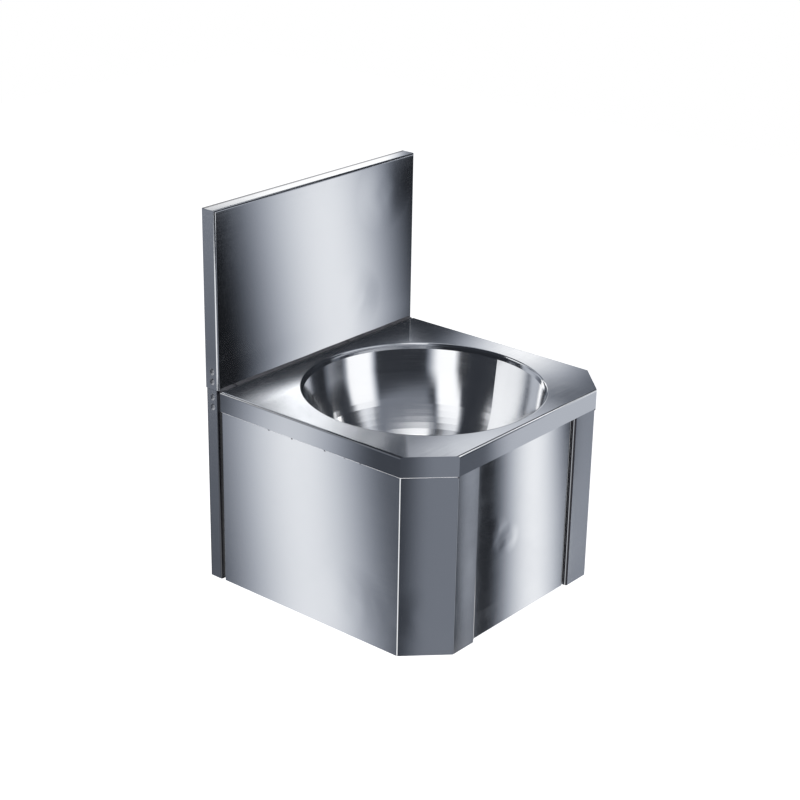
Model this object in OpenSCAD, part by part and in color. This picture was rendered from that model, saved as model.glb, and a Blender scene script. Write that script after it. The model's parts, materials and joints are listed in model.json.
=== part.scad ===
// Wall-hung stainless steel hand wash sink with a knee-operated front panel.
// Millimetres. X runs to the right, +Y runs into the wall, +Z is up.
// The origin is on the wall face, on the centre line, at the bottom edge of the casing.

/* [Casing] */
// Width over the two side panels
body_w = 400; // [380:5:440]
// Depth from the wall to the front of the casing
body_d = 390; // [380:5:430]
// Height of the deck above the bottom edge
deck_h = 280; // [275:5:320]
// Height of the top of the splashback above the bottom edge
total_h = 528; // [460:2:640]
// Thickness of the stainless sheet
sheet_t = 1.2; // [1:0.1:1.5]
// Centre-line radius of every fold in the sheet
fold_r = 2.2; // [1.8:0.1:2.6]
// Width of the shadow gap between the wall frame and the casing
shadow_gap = 4; // [3:0.5:6]
// Size of the cut across each front corner, in plan
corner_cut = 52; // [40:1:60]
// Width of each front strip beside the knee panel
strip_w = 45; // [38:1:52]
// Depth of the return behind each front strip
strip_return = 22; // [20:1:26]
// Width of the flange at the rear of each side panel
rear_flange_w = 17; // [15:1:20]

/* [Deck] */
// Height of the skirt round the deck
skirt_h = 28; // [24:1:34]
// Height of the side panels' lap behind the skirt
lap_h = 16; // [12:1:18]
// Radius of the rolled edge round the bowl opening
rim_r = 4; // [3:0.5:6]
// Depth of the collar that the bowl is welded to
collar_h = 8; // [7:1:12]

/* [Bowl] */
// Least width of the deck beside the bowl
side_land = 37.5; // [36:0.5:50]
// Width of the deck behind the bowl
rear_land = 23; // [21:1:40]
// Depth from the deck to the bowl's floor
bowl_depth = 160; // [145:1:168]
// Least width of the deck in front of the bowl
front_land = 16; // [14:1:24]
// Draft of the bowl's wall from upright, in degrees
wall_draft = 7; // [4:1:10]
// Slope of the bowl's floor, in degrees
floor_slope = 3; // [2:1:5]
// Radius between the bowl's wall and its floor
heel_r = 90; // [70:5:95]

/* [Splashback and wall frame] */
// Depth of the splashback and of the wall frame
splash_t = 22; // [18:1:30]
// Width of the folds that lie against the wall or face the casing
return_w = 17; // [15:1:20]
// Gap between the ends of the splashback's rear folds
return_gap = 1.5; // [0.5:0.5:3]
// Height of the lip below the splashback's face
lip_h = 26; // [20:1:27]
// Hairline gap between the splashback and the wall frame
seam_gap = 0.3; // [0.2:0.1:0.6]
// Spacing of the wall fixings across the casing
fixing_x = 300; // [260:10:330]
// Spacing of the wall fixings up the casing
fixing_z = 170; // [140:10:190]
// Height of the lower wall fixings
fixing_low = 55; // [45:5:65]
// Diameter of each wall fixing hole
fixing_d = 9; // [8:0.5:11]
// Width of the service opening in the wall frame
service_w = 220; // [200:10:240]
// Height of the service opening in the wall frame
service_h = 165; // [150:5:180]
// Height of the bottom of the service opening
service_low = 30; // [25:5:40]
// Corner radius of the service opening
service_r = 15; // [8:1:25]

/* [Joining plates] */
// Thickness of each joining plate
plate_t = 2; // [1.5:0.5:3]
// Width of each joining plate
plate_w = 15; // [12:1:16]
// Height of each joining plate
plate_h = 64; // [60:2:80]
// Distance of the inner rivets from the seam
rivet_near = 11; // [9:1:14]
// Distance of the outer rivets from the seam
rivet_far = 25; // [22:1:28]
// Diameter of a rivet's shank
rivet_d = 4.8; // [4:0.4:5]
// Diameter of a rivet's domed head
rivet_head_d = 9.5; // [8:0.5:10]
// Height of a rivet's domed head
rivet_head_h = 1.6; // [1.2:0.1:2.2]
// Diameter of the dimple in a rivet's head
rivet_dimple_d = 2.6; // [2:0.2:3]
// Diameter of a rivet's blind head
rivet_tail_d = 6.6; // [6:0.2:7.4]
// Height of a rivet's blind head
rivet_tail_h = 3; // [2:0.5:4]

/* [Knee panel] */
// Depth of the knee panel's face behind the front strips
panel_recess = 5; // [4:0.5:8]
// Side gap between the knee panel and the strips
panel_gap = 1.5; // [1.3:0.1:2.5]
// Gap between the knee panel's top and the deck
panel_top_gap = 10; // [8:1:14]
// Length of the knee panel below the casing
panel_drop = 2; // [0:1:5]
// Depth of the knee panel's side flanges
panel_flange = 20; // [18:1:22]
// Depth of the knee panel's bottom flange
panel_hem = 14; // [10:1:16]
// Space between the knee panel's top flange and the bowl
hem_clear = 2; // [1.5:0.5:3]
// Swing of the knee panel, in degrees
swing = 3.3; // [2.5:0.1:3.5]
// Depth of the stiffener on the back of the knee panel
hat_d = 12; // [10:1:14]
// Width of the stiffener's crown
hat_w = 36; // [32:1:42]
// Width of each of the stiffener's feet
hat_foot = 12; // [10:1:16]
// Gap between the stiffener's ends and the side flanges
hat_end_gap = 3; // [3:0.5:6]

/* [Hinge] */
// Height of the hinge axis below the deck
hinge_drop = 22; // [20:1:24]
// Distance of the hinge axis behind the front
hinge_back = 15; // [14:1:16]
// Diameter of each hinge pin
pin_d = 8; // [6:0.5:9]
// Running clearance round a pin, on the radius
run_gap = 0.05; // [0.03:0.01:0.08]
// Outer diameter of each hinge bush
bush_d = 12; // [11:0.5:13]
// Diameter of each bush's thrust flange
bush_flange_d = 15; // [14:0.5:16]
// Thickness of each bush's thrust flange
bush_flange_t = 1; // [0.8:0.1:1.1]
// Length of each bush inside the knee panel
bush_len = 4; // [3:0.5:6]
// Width across flats of each hinge pin's head
pin_head_af = 13; // [12:1:14]
// Thickness of each hinge pin's head
pin_head_t = 5; // [4:0.5:6]
// Thickness of each retaining clip
clip_t = 0.9; // [0.7:0.1:1.1]
// Outer diameter of each retaining clip
clip_d = 15; // [13:1:16]
// Depth of the clip's groove in the pin
clip_groove = 0.9; // [0.6:0.1:1.1]
// End float between the clip and the bush
clip_float = 0.3; // [0.2:0.1:0.5]
// Length of the pin past its clip
pin_end = 2; // [1.5:0.5:3]

/* [Rest stops] */
// Height of the rest stops' middle
stop_z = 165; // [130:5:180]
// Height of each stop ear on the knee panel
ear_h = 30; // [24:2:36]
// Reach of each stop ear past the side flange
ear_reach = 9; // [8:1:11]
// Height of each rubber buffer
buffer_h = 20; // [14:1:22]
// Thickness of the rubber behind the return's edge
buffer_t = 1.5; // [1.2:0.1:2]
// Length of the rubber along the return
buffer_grip = 7; // [5:1:9]
// Width of the rubber beside the return
buffer_w = 3; // [2.5:0.5:4]
// Gap that keeps a resting piece just clear of its seat
rest_gap = 0.3; // [0.3:0.1:0.5]

/* [Valve] */
// Distance of the valve inside the left edge of the knee opening
valve_inset = 43; // [40:1:46]
// Height of the valve above the bottom edge
valve_z = 60; // [58:1:66]
// Thickness of the valve rail
rail_t = 1.5; // [1.5:0.5:2]
// Height of the valve rail
rail_h = 56; // [50:2:60]
// Distance of the valve rail's web behind the front
rail_back = 71; // [70:1:74]
// Overlap of the rail's tabs on the strip returns
rail_lap = 16; // [12:1:18]
// Diameter of the valve's barrel
barrel_d = 36; // [34:1:40]
// Diameter of the valve's threaded neck
neck_d = 28; // [27:1:30]
// Length of the neck in front of the rail's rear face
neck_len = 10; // [10:0.5:12]
// Diameter of the outlet chamber's bore
outlet_bore_d = 20; // [19:1:21]
// Length of the outlet chamber behind the rail
outlet_bore_len = 30; // [28:1:32]
// Diameter of the hole in the valve seat
seat_d = 14; // [13:0.5:15]
// Thickness of the valve seat
seat_t = 4; // [3:0.5:5]
// Diameter of the supply chamber's bore
supply_bore_d = 24; // [23:0.5:26]
// Length of the supply chamber behind the seat
supply_bore_len = 40; // [38:1:44]
// Clearance of a hole round a part that passes it, on the radius
pass_gap = 0.25; // [0.2:0.05:0.4]
// Width across flats of the valve's lock nut
lock_af = 36; // [34:1:40]
// Thickness of the valve's lock nut
lock_t = 6; // [5:0.5:7]
// Width across flats of the bonnet and of the end plug
bonnet_af = 24; // [23:1:26]
// Thickness of the bonnet's hexagon
bonnet_t = 4; // [3:0.5:5]
// Length of the bonnet's thread inside the neck
bonnet_len = 18; // [16:1:20]
// Thickness of the end plug's hexagon
plug_t = 5; // [4:0.5:6]
// Length of the end plug's thread inside the barrel
plug_len = 8; // [7:0.5:9]
// Diameter of the push rod
rod_d = 10; // [8:1:11]
// Diameter of the push button on the rod
button_d = 26; // [22:1:30]
// Thickness of the push button
button_t = 5; // [4:0.5:6]
// Diameter of the closing disc
disc_d = 20; // [18:0.5:21]
// Thickness of the closing disc
disc_t = 3; // [2.5:0.5:4]
// Thickness of the rubber washer that closes on the seat
washer_t = 2; // [1.5:0.5:3]
// Length of the spring guide behind the disc
guide_len = 6; // [5:1:8]
// Diameter of the rod seal's section
ring_d = 2; // [1.6:0.1:2.4]
// Depth of the rod seal inside the bonnet
ring_depth = 4; // [3:0.5:6]
// Diameter of the two supply arms
arm_d = 28; // [27:1:32]
// Distance of each supply from the valve's axis
supply_off = 24; // [22:1:28]
// Distance of the outlet connection behind the rail
outlet_back = 20; // [18:1:22]
// Distance of the supply connections behind the rail
supply_back = 50; // [48:1:54]
// Diameter over the threads of each water connection
thread_d = 20.955; // [20.955:0.001:26.441]
// Length of the thread on each water connection
thread_len = 16; // [14:1:18]
// Length of the shoulder above each thread
shoulder_len = 3; // [2:0.5:4]
// Diameter of the waterways
water_d = 12; // [10:1:13]
// Diameter of each inlet strainer
strainer_d = 15.6; // [14:0.2:16]
// Thickness of each inlet strainer
strainer_t = 2; // [1.5:0.5:3]

/* [Spring] */
// Diameter of the spring's wire
wire_d = 1.6; // [1.2:0.1:1.8]
// Diameter of the spring through the middle of its wire
coil_d = 14; // [13:0.5:15]
// Number of turns in the spring
coil_turns = 6; // [5:1:7]

/* [Striker] */
// Diameter of the striker screw
striker_d = 8; // [6:1:8]
// Diameter of the striker screw's head
striker_head_d = 14; // [12:1:15]
// Thickness of the striker screw's head
striker_head_t = 5; // [4:0.5:6]
// Outer diameter of the rubber cap on the striker
cap_d = 19; // [18:1:22]
// Width across flats of the striker's lock nuts
striker_af = 13; // [12:1:14]
// Thickness of each of the striker's lock nuts
striker_nut_t = 5; // [4:0.5:6]
// Length of the screw in front of the stiffener's crown
striker_tail = 8; // [6:0.5:8.5]

/* [Waste] */
// Diameter of the strainer flange in the bowl
waste_d = 70; // [66:1:74]
// Thickness of the strainer flange
waste_t = 2; // [1.5:0.5:2.5]
// Number of slots in the strainer flange
slot_count = 8; // [6:1:10]
// Diameter of the hole in the bowl
outlet_d = 46; // [44:1:48]
// Thickness of the gasket in the bowl
top_gasket_t = 1.5; // [1:0.5:2]
// Thickness of the gasket under the bowl
low_gasket_t = 3; // [2:0.5:4]
// Diameter of the waste body's flange
cup_d = 74; // [70:1:78]
// Thickness of the waste body's flange
cup_t = 4; // [3:0.5:5]
// Depth of the waste body's funnel
cup_h = 26; // [24:1:30]
// Wall thickness of the waste body
cup_wall = 3.4; // [3:0.1:4]
// Diameter over the thread of the waste tail
tail_d = 47.8; // [47.8:0.001:59.6]
// Length of the waste tail's thread
tail_len = 40; // [30:1:42]
// Diameter of the centre screw
centre_d = 6; // [5:0.5:7]
// Diameter of the boss that the centre screw is held in
boss_d = 14; // [12:1:15]
// Height of that boss
boss_h = 14; // [12:1:16]
// Thickness of the arms that carry the boss
arm_t = 3; // [2.5:0.5:4]
// Diameter of the centre screw's head
centre_head_d = 12; // [11:0.5:13]
// Height of the centre screw's head
centre_head_h = 1.6; // [1.2:0.2:2]

/* [Fasteners and seals] */
// Diameter of the casing screws
screw_d = 5; // [4:0.5:5.5]
// Diameter of the casing screws' heads
screw_head_d = 10; // [8:0.5:10.5]
// Height of the casing screws' heads
screw_head_h = 3.5; // [2.5:0.5:4]
// Diameter of each blind nut
nut_d = 9; // [8:0.5:10]
// Length of each blind nut
nut_len = 7; // [6:0.5:8]
// Distance of the gasket inside the casing's sides
gasket_inset = 3.5; // [3:0.5:5]
// Width of the gasket
gasket_w = 12; // [11:0.5:13]
// Height of the sealant bead on the splashback
bead_h = 3; // [2:0.5:4]
// Distance of the top and bottom screws from the panel's ends
screw_margin = 35; // [30:5:45]

/* [Earth tag] */
// Thickness of the earth tag
tag_t = 2; // [1.5:0.5:3]
// Width of the earth tag
tag_w = 20; // [18:1:24]
// Reach of the earth tag from the side panel
tag_reach = 24; // [22:1:28]
// Diameter of the hole in the earth tag
tag_hole_d = 6.6; // [6.4:0.1:8.4]
// Height of the earth tag above the bottom edge
tag_z = 20; // [15:1:40]
// Distance of the earth tag from the wall
tag_back = 70; // [60:1:90]

/* [Hidden] */

$fn = 96;
// Overrun of every cut past the face that it leaves
cut = 1;
// Straight pieces in each modelled fold
fold_steps = 5;
// Straight pieces in each small round outline
round_steps = 8;
// Straight pieces in the bowl's heel
heel_steps = 14;

half_w = body_w / 2;
half_t = sheet_t / 2;
outer_r = fold_r + half_t;
// Growth of a corner cut's ends for each unit of inset
cut_shift = sqrt(2) - 1;

rear_y = splash_t + shadow_gap;
seam_z = deck_h;
skirt_z = deck_h - skirt_h;
open_half = half_w - corner_cut - strip_w;

// The bowl is the widest one that leaves its lands on the deck
bowl_r = min(body_w - 2 * side_land, body_d - rear_y - front_land - rear_land) / 2;
bowl_y = -rear_y - rear_land - bowl_r;
collar_z = deck_h - collar_h;
floor_z = deck_h - bowl_depth;

panel_half = open_half - panel_gap;
panel_y = -body_d + sheet_t + panel_recess;
panel_top = deck_h - panel_top_gap;
top_hem = front_land - 2 * sheet_t - panel_recess - hem_clear;
hinge_y = -body_d + hinge_back;
hinge_z = deck_h - hinge_drop;
return_y = -body_d + strip_return;

valve_x = -open_half + valve_inset;
rail_y = -body_d + rail_back;
neck_y = rail_y - neck_len;
bonnet_y = neck_y - bonnet_t;
bonnet_end_y = neck_y + bonnet_len;
travel = (hinge_z - valve_z) * tan(swing);
button_y = bonnet_y - rest_gap - travel - button_t;
seat_y = rail_y + outlet_bore_len;
washer_y = seat_y + seat_t + rest_gap;
disc_y = washer_y + washer_t;
guide_y = disc_y + disc_t;
barrel_end_y = seat_y + seat_t + supply_bore_len;
plug_y = barrel_end_y - plug_len;
outlet_y = rail_y + outlet_back;
supply_y = rail_y + supply_back;
thread_z = -barrel_d / 2 - shoulder_len - thread_len;
cap_tip_y = button_y - rest_gap;
crown_y = panel_y + sheet_t + hat_d;

recess_depth = top_gasket_t + waste_t;
recess_r = waste_d / 2 + pass_gap;
// The heel's radius stays within this share of the floor beside the recess
heel_share = 0.8;
heel_fit_r = min(heel_r, heel_share * (bowl_r - recess_r));
low_gasket_z = floor_z - recess_depth - sheet_t - low_gasket_t;
cup_z = low_gasket_z - cup_t;
tail_top_z = cup_z - cup_h;
tail_z = tail_top_z - tail_len;
screw_x = half_w - gasket_inset - gasket_w / 2;

steel = "#b9bdc4";
bright_steel = "#c9ccd2";
dark_rubber = "#26272a";
white_nylon = "#e6e4dc";
clear_seal = "#d5d8da";
plated_brass = "#c4c6c9";
spring_steel = "#8f9296";
waste_plastic = "#efefec";

function aim(angle) = [cos(angle), sin(angle)];
function unit(v) = v / norm(v);
function left_of(v) = [-v.y, v.x];
function arc(centre, r, from, to, steps) =
    [for (i = [0:steps]) centre + r * aim(from + (to - from) * i / steps)];

// Samples of one fold: each is a point on the sheet's middle line and the direction to its left.
function fold_samples(a, b, c, r) =
    let (
        into = unit(b - a),
        out = unit(c - b),
        bend = atan2(into.x * out.y - into.y * out.x, into * out),
        reach = r * tan(abs(bend) / 2),
        centre = b - into * reach + sign(bend) * r * left_of(into),
        start = atan2(into.y, into.x)
    )
    [for (i = [0:fold_steps])
        let (side = left_of(aim(start + bend * i / fold_steps)))
        [centre - sign(bend) * r * side, side]];

// Outline of a folded sheet whose middle line runs through the path's points.
function folded_outline(path, t, r) =
    let (
        last = len(path) - 1,
        first_side = left_of(unit(path[1] - path[0])),
        last_side = left_of(unit(path[last] - path[last - 1])),
        samples = concat(
            [[path[0], first_side]],
            [for (i = [1:last - 1]) each fold_samples(path[i - 1], path[i], path[i + 1], r)],
            [[path[last], last_side]]
        )
    )
    concat(
        [for (s = samples) s[0] + s[1] * t / 2],
        [for (i = [len(samples) - 1:-1:0]) samples[i][0] - samples[i][1] * t / 2]
    );

// Outline of an upright block whose two upper corners are round where their radius is set.
function hood_outline(low, high, base, top, low_r, high_r) = concat(
    [[high, base]],
    high_r > 0 ? arc([high - high_r, top - high_r], high_r, 0, 90, fold_steps) : [[high, top]],
    low_r > 0 ? arc([low + low_r, top - low_r], low_r, 90, 180, fold_steps) : [[low, top]],
    [[low, base]]
);

function round_rect(w, h, r) = [
    for (corner = [[1, 1, 0], [-1, 1, 90], [-1, -1, 180], [1, -1, 270]])
        each arc([corner.x * (w / 2 - r), corner.y * (h / 2 - r)], r,
            corner.z, corner.z + 90, round_steps)
];

// Corner points of the casing's right half in plan, moved inwards from its outer face.
function side_corner(inset) = [half_w - inset, -body_d + corner_cut + inset * cut_shift];
function front_corner(inset) = [half_w - corner_cut - inset * cut_shift, -body_d + inset];

module at_side(side) {
    if (side < 0) mirror([1, 0, 0]) children();
    else children();
}

module rod_x(r, from, to) {
    translate([from, 0, 0]) rotate([0, 90, 0]) cylinder(r = r, h = to - from);
}

module rod_y(r, from, to) {
    translate([0, from, 0]) rotate([-90, 0, 0]) cylinder(r = r, h = to - from);
}

module rod_z(r, from, to) {
    translate([0, 0, from]) cylinder(r = r, h = to - from);
}

module hex_y(flats, from, to) {
    translate([0, from, 0]) rotate([-90, 0, 0]) cylinder(d = flats / cos(30), h = to - from, $fn = 6);
}

// A shape drawn in Y and Z and carried along X.
module along_x(from, to) {
    translate([from, 0, 0]) rotate([90, 0, 90]) linear_extrude(to - from) children();
}

module block(low, high) {
    translate(low) cube(high - low);
}

module ring_z(outer, inner, from, to) {
    difference() {
        rod_z(outer, from, to);
        rod_z(inner, from - cut, to + cut);
    }
}

// Splashback: an upright tray, open to the wall, with a lip that reaches behind the deck
module tray_block(inset, low) {
    r = outer_r - inset;
    intersection() {
        translate([0, 0, low]) linear_extrude(total_h - low) polygon([
            each arc([half_w - inset - r, -splash_t + inset + r], r, 0, -90, fold_steps),
            each arc([-half_w + inset + r, -splash_t + inset + r], r, -90, -180, fold_steps),
            [-half_w + inset, -inset],
            [half_w - inset, -inset]
        ]);
        along_x(-half_w, half_w) polygon([
            [-splash_t + inset, low],
            each arc([-splash_t + inset + r, total_h - inset - r], r, 180, 90, fold_steps),
            [-inset, total_h - inset],
            [-inset, low]
        ]);
    }
}

module splashback_tray() {
    base = seam_z + seam_gap;
    lip_half = half_w - return_w - cut;
    color(steel) difference() {
        union() {
            difference() {
                tray_block(0, base);
                tray_block(sheet_t, base - cut);
                block([-half_w + return_w, -splash_t / 2, base - cut],
                    [half_w - return_w, cut, total_h - return_w]);
            }
            block([-lip_half, -splash_t, seam_z - lip_h], [lip_half, -splash_t + sheet_t, base + cut]);
        }
        for (side = [-1, 1]) at_side(side) block(
            [half_w - return_w - cut, -sheet_t - cut, total_h - return_w - return_gap],
            [half_w - sheet_t, cut, total_h - return_w]);
        rivet_holes();
        lip_holes();
    }
}

// Wall frame: one folded sheet that lies on the wall and turns forward at both sides
module wall_frame() {
    edge = half_w - half_t;
    face = splash_t - half_t;
    path = [
        [half_w - return_w, -face], [edge, -face], [edge, -half_t],
        [-edge, -half_t], [-edge, -face], [-half_w + return_w, -face]
    ];
    color(steel) difference() {
        linear_extrude(seam_z) polygon(folded_outline(path, sheet_t, fold_r));
        translate([0, cut, service_low + service_h / 2]) rotate([90, 0, 0])
            linear_extrude(splash_t / 2) polygon(round_rect(service_w, service_h, service_r));
        for (x = [-1, 1], z = [0, fixing_z])
            translate([x * fixing_x / 2, 0, fixing_low + z]) rod_y(fixing_d / 2, -splash_t / 2, cut);
        rivet_holes();
        casing_screw_places() rod_y(screw_d / 2 + run_gap, -splash_t - cut, -splash_t / 2);
    }
}

// Joining plates and their rivets, on the inside of the splashback's and the frame's sides
rivet_heights = [-rivet_far, -rivet_near, rivet_near, rivet_far];

module rivet_places() {
    for (z = rivet_heights) translate([0, -splash_t / 2, seam_z + z]) children();
}

module rivet_holes() {
    for (side = [-1, 1]) at_side(side) rivet_places()
        rod_x(rivet_d / 2 + run_gap, half_w - splash_t / 2, half_w + cut);
}

module joining_plate(side) {
    outer = half_w - sheet_t;
    color(steel) at_side(side) difference() {
        block([outer - plate_t, -splash_t / 2 - plate_w / 2, seam_z - plate_h / 2],
            [outer, -splash_t / 2 + plate_w / 2, seam_z + plate_h / 2]);
        rivet_places() rod_x(rivet_d / 2 + run_gap, outer - plate_t - cut, outer + cut);
    }
}

// A domed head on the plane through the origin, drawn upwards
function dome_profile(d, h) =
    let (
        r = (d * d / 4 + h * h) / (2 * h),
        reach = asin(d / 2 / r)
    )
    concat([[0, 0]], arc([0, h - r], r, 90 - reach, 90, round_steps));

module rivets(side) {
    color(bright_steel) at_side(side) rivet_places() {
        difference() {
            union() {
                translate([half_w, 0, 0]) rotate([0, 90, 0]) rotate_extrude()
                    polygon(dome_profile(rivet_head_d, rivet_head_h));
                rod_x(rivet_d / 2, half_w - sheet_t - plate_t, half_w + rivet_head_h / 4);
                rod_x(rivet_tail_d / 2, half_w - sheet_t - plate_t - rivet_tail_h,
                    half_w - sheet_t - plate_t);
            }
            rod_x(rivet_dimple_d / 2, half_w + rivet_head_h / 2, half_w + rivet_head_h + cut);
        }
    }
}

// Deck: a plate with a skirt on every side, folded edges and a rolled bowl opening
module deck_block(inset, base) {
    r = outer_r - inset;
    top = deck_h - inset;
    far = body_w + body_d;
    span = norm([body_w, body_d]);
    corner = (side_corner(inset) + front_corner(inset)) / 2;
    intersection() {
        translate([0, 0, base]) linear_extrude(deck_h - base) polygon([
            side_corner(inset), [half_w - inset, -rear_y - inset],
            [-half_w + inset, -rear_y - inset], [-side_corner(inset).x, side_corner(inset).y],
            [-front_corner(inset).x, front_corner(inset).y], front_corner(inset)
        ]);
        rotate([90, 0, 0]) linear_extrude(far)
            polygon(hood_outline(-half_w + inset, half_w - inset, base, top, r, r));
        along_x(-half_w, half_w)
            polygon(hood_outline(-body_d + inset, -rear_y - inset, base, top, r, r));
        for (side = [-1, 1]) at_side(side) translate([corner.x, corner.y, 0]) rotate([0, 0, -45])
            rotate([90, 0, 0]) linear_extrude(span, center = true)
            polygon(hood_outline(-span, 0, base, top, 0, r));
    }
}

module deck() {
    lap = rim_r + sheet_t;
    color(steel) difference() {
        union() {
            difference() {
                deck_block(0, skirt_z);
                deck_block(sheet_t, skirt_z - cut);
                translate([0, bowl_y, 0]) rod_z(bowl_r + rim_r, skirt_z, deck_h + cut);
            }
            translate([0, bowl_y, 0]) rotate_extrude() polygon([
                each arc([bowl_r + rim_r, deck_h - rim_r], rim_r, 180, 90, round_steps),
                [bowl_r + lap, deck_h],
                [bowl_r + lap, deck_h - sheet_t],
                each arc([bowl_r + rim_r, deck_h - rim_r], rim_r - sheet_t, 90, 180, round_steps),
                [bowl_r + sheet_t, collar_z],
                [bowl_r, collar_z]
            ]);
        }
        lip_holes();
    }
}

// Bowl: a spun shell with a drafted wall, a round heel, a sloped floor and a waste recess
function heel_centre() =
    let (
        wall = tan(wall_draft),
        slope = tan(floor_slope),
        base = floor_z - recess_r * slope,
        start = bowl_r - collar_z * wall - heel_fit_r / cos(wall_draft),
        z = (base + slope * start + heel_fit_r / cos(floor_slope)) / (1 - slope * wall)
    )
    [start + z * wall, z];

function bowl_side(grow) = concat(
    [[bowl_r + grow / cos(wall_draft), collar_z]],
    arc(heel_centre(), heel_fit_r + grow, -wall_draft, floor_slope - 90, heel_steps)
);

module bowl() {
    recess_z = floor_z - recess_depth;
    color(bright_steel) translate([0, bowl_y, 0]) rotate_extrude() polygon([
        each bowl_side(0),
        [recess_r, floor_z],
        [recess_r, recess_z],
        [outlet_d / 2, recess_z],
        [outlet_d / 2, recess_z - sheet_t],
        [recess_r + sheet_t, recess_z - sheet_t],
        [recess_r + sheet_t, floor_z - sheet_t / cos(floor_slope)],
        each [for (i = [heel_steps + 1:-1:0]) bowl_side(sheet_t)[i]]
    ]);
}

// Side panels: each is one sheet that wraps from the rear flange round to the knee opening,
// and its top edge laps behind the deck's skirt
module side_panel(side) {
    inset = sheet_t + half_t;
    path = [
        [half_w - inset - rear_flange_w, -rear_y - half_t],
        [half_w - inset, -rear_y - half_t],
        side_corner(inset),
        front_corner(inset),
        [open_half + half_t, -body_d + inset],
        [open_half + half_t, return_y]
    ];
    color(steel) at_side(side) difference() {
        linear_extrude(skirt_z + lap_h) polygon(folded_outline(path, sheet_t, fold_r));
        // The rear flange stops short of the skirt's rear face
        block([0, -rear_y - outer_r - sheet_t, skirt_z - rest_gap], [half_w, cut, deck_h]);
        translate([0, hinge_y, hinge_z]) rod_x(pin_d / 2 + run_gap, 0, half_w - corner_cut);
        screw_places_one_side() rod_y(screw_d / 2 + run_gap, -rear_y - outer_r, -rear_y + cut);
    }
}

// Casing screws, their blind nuts and the gasket that they squeeze
casing_screw_heights = [screw_margin, skirt_z / 2, skirt_z - screw_margin];

module casing_screw_places() {
    for (side = [-1, 1]) at_side(side) screw_places_one_side() children();
}

module screw_places_one_side() {
    for (z = casing_screw_heights) translate([screw_x, 0, z]) children();
}

module screw(front, back) {
    translate([0, front, 0]) rotate([90, 0, 0]) rotate_extrude()
        polygon(dome_profile(screw_head_d, screw_head_h));
    rod_y(screw_d / 2, front - screw_head_h / 4, back);
}

module blind_nut(front) {
    difference() {
        rod_y(nut_d / 2, front, front + nut_len);
        rod_y(screw_d / 2 + run_gap, front - cut, front + nut_len + cut);
    }
}

module casing_screws(side) {
    color(bright_steel) at_side(side) screw_places_one_side()
        screw(-rear_y - sheet_t, -splash_t + sheet_t + nut_len);
}

module blind_nuts(side) {
    color(bright_steel) at_side(side) screw_places_one_side() blind_nut(-splash_t + sheet_t);
}

lip_screw_span_share = 0.6;
lip_screw_xs = [for (i = [-1, 0, 1]) i * half_w * lip_screw_span_share];
lip_screw_z = seam_z - lip_h / 2;

module lip_screw_places() {
    for (x = lip_screw_xs) translate([x, 0, lip_screw_z]) children();
}

module lip_holes() {
    lip_screw_places() rod_y(screw_d / 2 + run_gap, -rear_y - outer_r, -splash_t / 2);
}

module lip_screws() {
    color(bright_steel) lip_screw_places() screw(-rear_y - sheet_t, -splash_t + sheet_t + nut_len);
}

module lip_nuts() {
    color(bright_steel) lip_screw_places() blind_nut(-splash_t + sheet_t);
}

module rear_gasket() {
    outer = half_w - gasket_inset;
    inner = outer - gasket_w;
    top = deck_h - outer_r - gasket_inset / 2;
    low = seam_z - lip_h + gasket_inset;
    color(dark_rubber) difference() {
        union() {
            for (side = [-1, 1]) at_side(side)
                block([inner, -rear_y, gasket_inset], [outer, -splash_t, top]);
            block([-inner - cut, -rear_y, low], [inner + cut, -splash_t, top]);
        }
        casing_screw_places() rod_y(screw_d / 2 + pass_gap, -rear_y - cut, -splash_t + cut);
        lip_screw_places() rod_y(screw_d / 2 + pass_gap, -rear_y - cut, -splash_t + cut);
    }
}

// Sealant bead in the gap between the deck's rear edge and the splashback
module deck_seal() {
    low = deck_h - outer_r - gasket_inset / 2;
    color(clear_seal) along_x(-half_w + outer_r, half_w - outer_r) polygon([
        [-rear_y, low],
        [-splash_t, low],
        [-splash_t, deck_h + bead_h],
        [-splash_t - shadow_gap / 4, deck_h + bead_h / 3],
        [-rear_y, deck_h]
    ]);
}

// Knee panel: a shallow tray that hangs on two pins between the front strips
module panel_block(inset, front) {
    r = outer_r - inset;
    back = front + panel_flange + cut;
    intersection() {
        translate([0, 0, -panel_drop + inset])
            linear_extrude(panel_top + panel_drop - 2 * inset) polygon([
                each arc([panel_half - inset - r, front + r], r, 0, -90, fold_steps),
                each arc([-panel_half + inset + r, front + r], r, -90, -180, fold_steps),
                [-panel_half + inset, back],
                [panel_half - inset, back]
            ]);
        along_x(-panel_half, panel_half) polygon([
            each arc([front + r, -panel_drop + inset + r], r, -90, -180, fold_steps),
            each arc([front + r, panel_top - inset - r], r, 180, 90, fold_steps),
            [back, panel_top - inset],
            [back, -panel_drop + inset]
        ]);
    }
}

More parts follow.
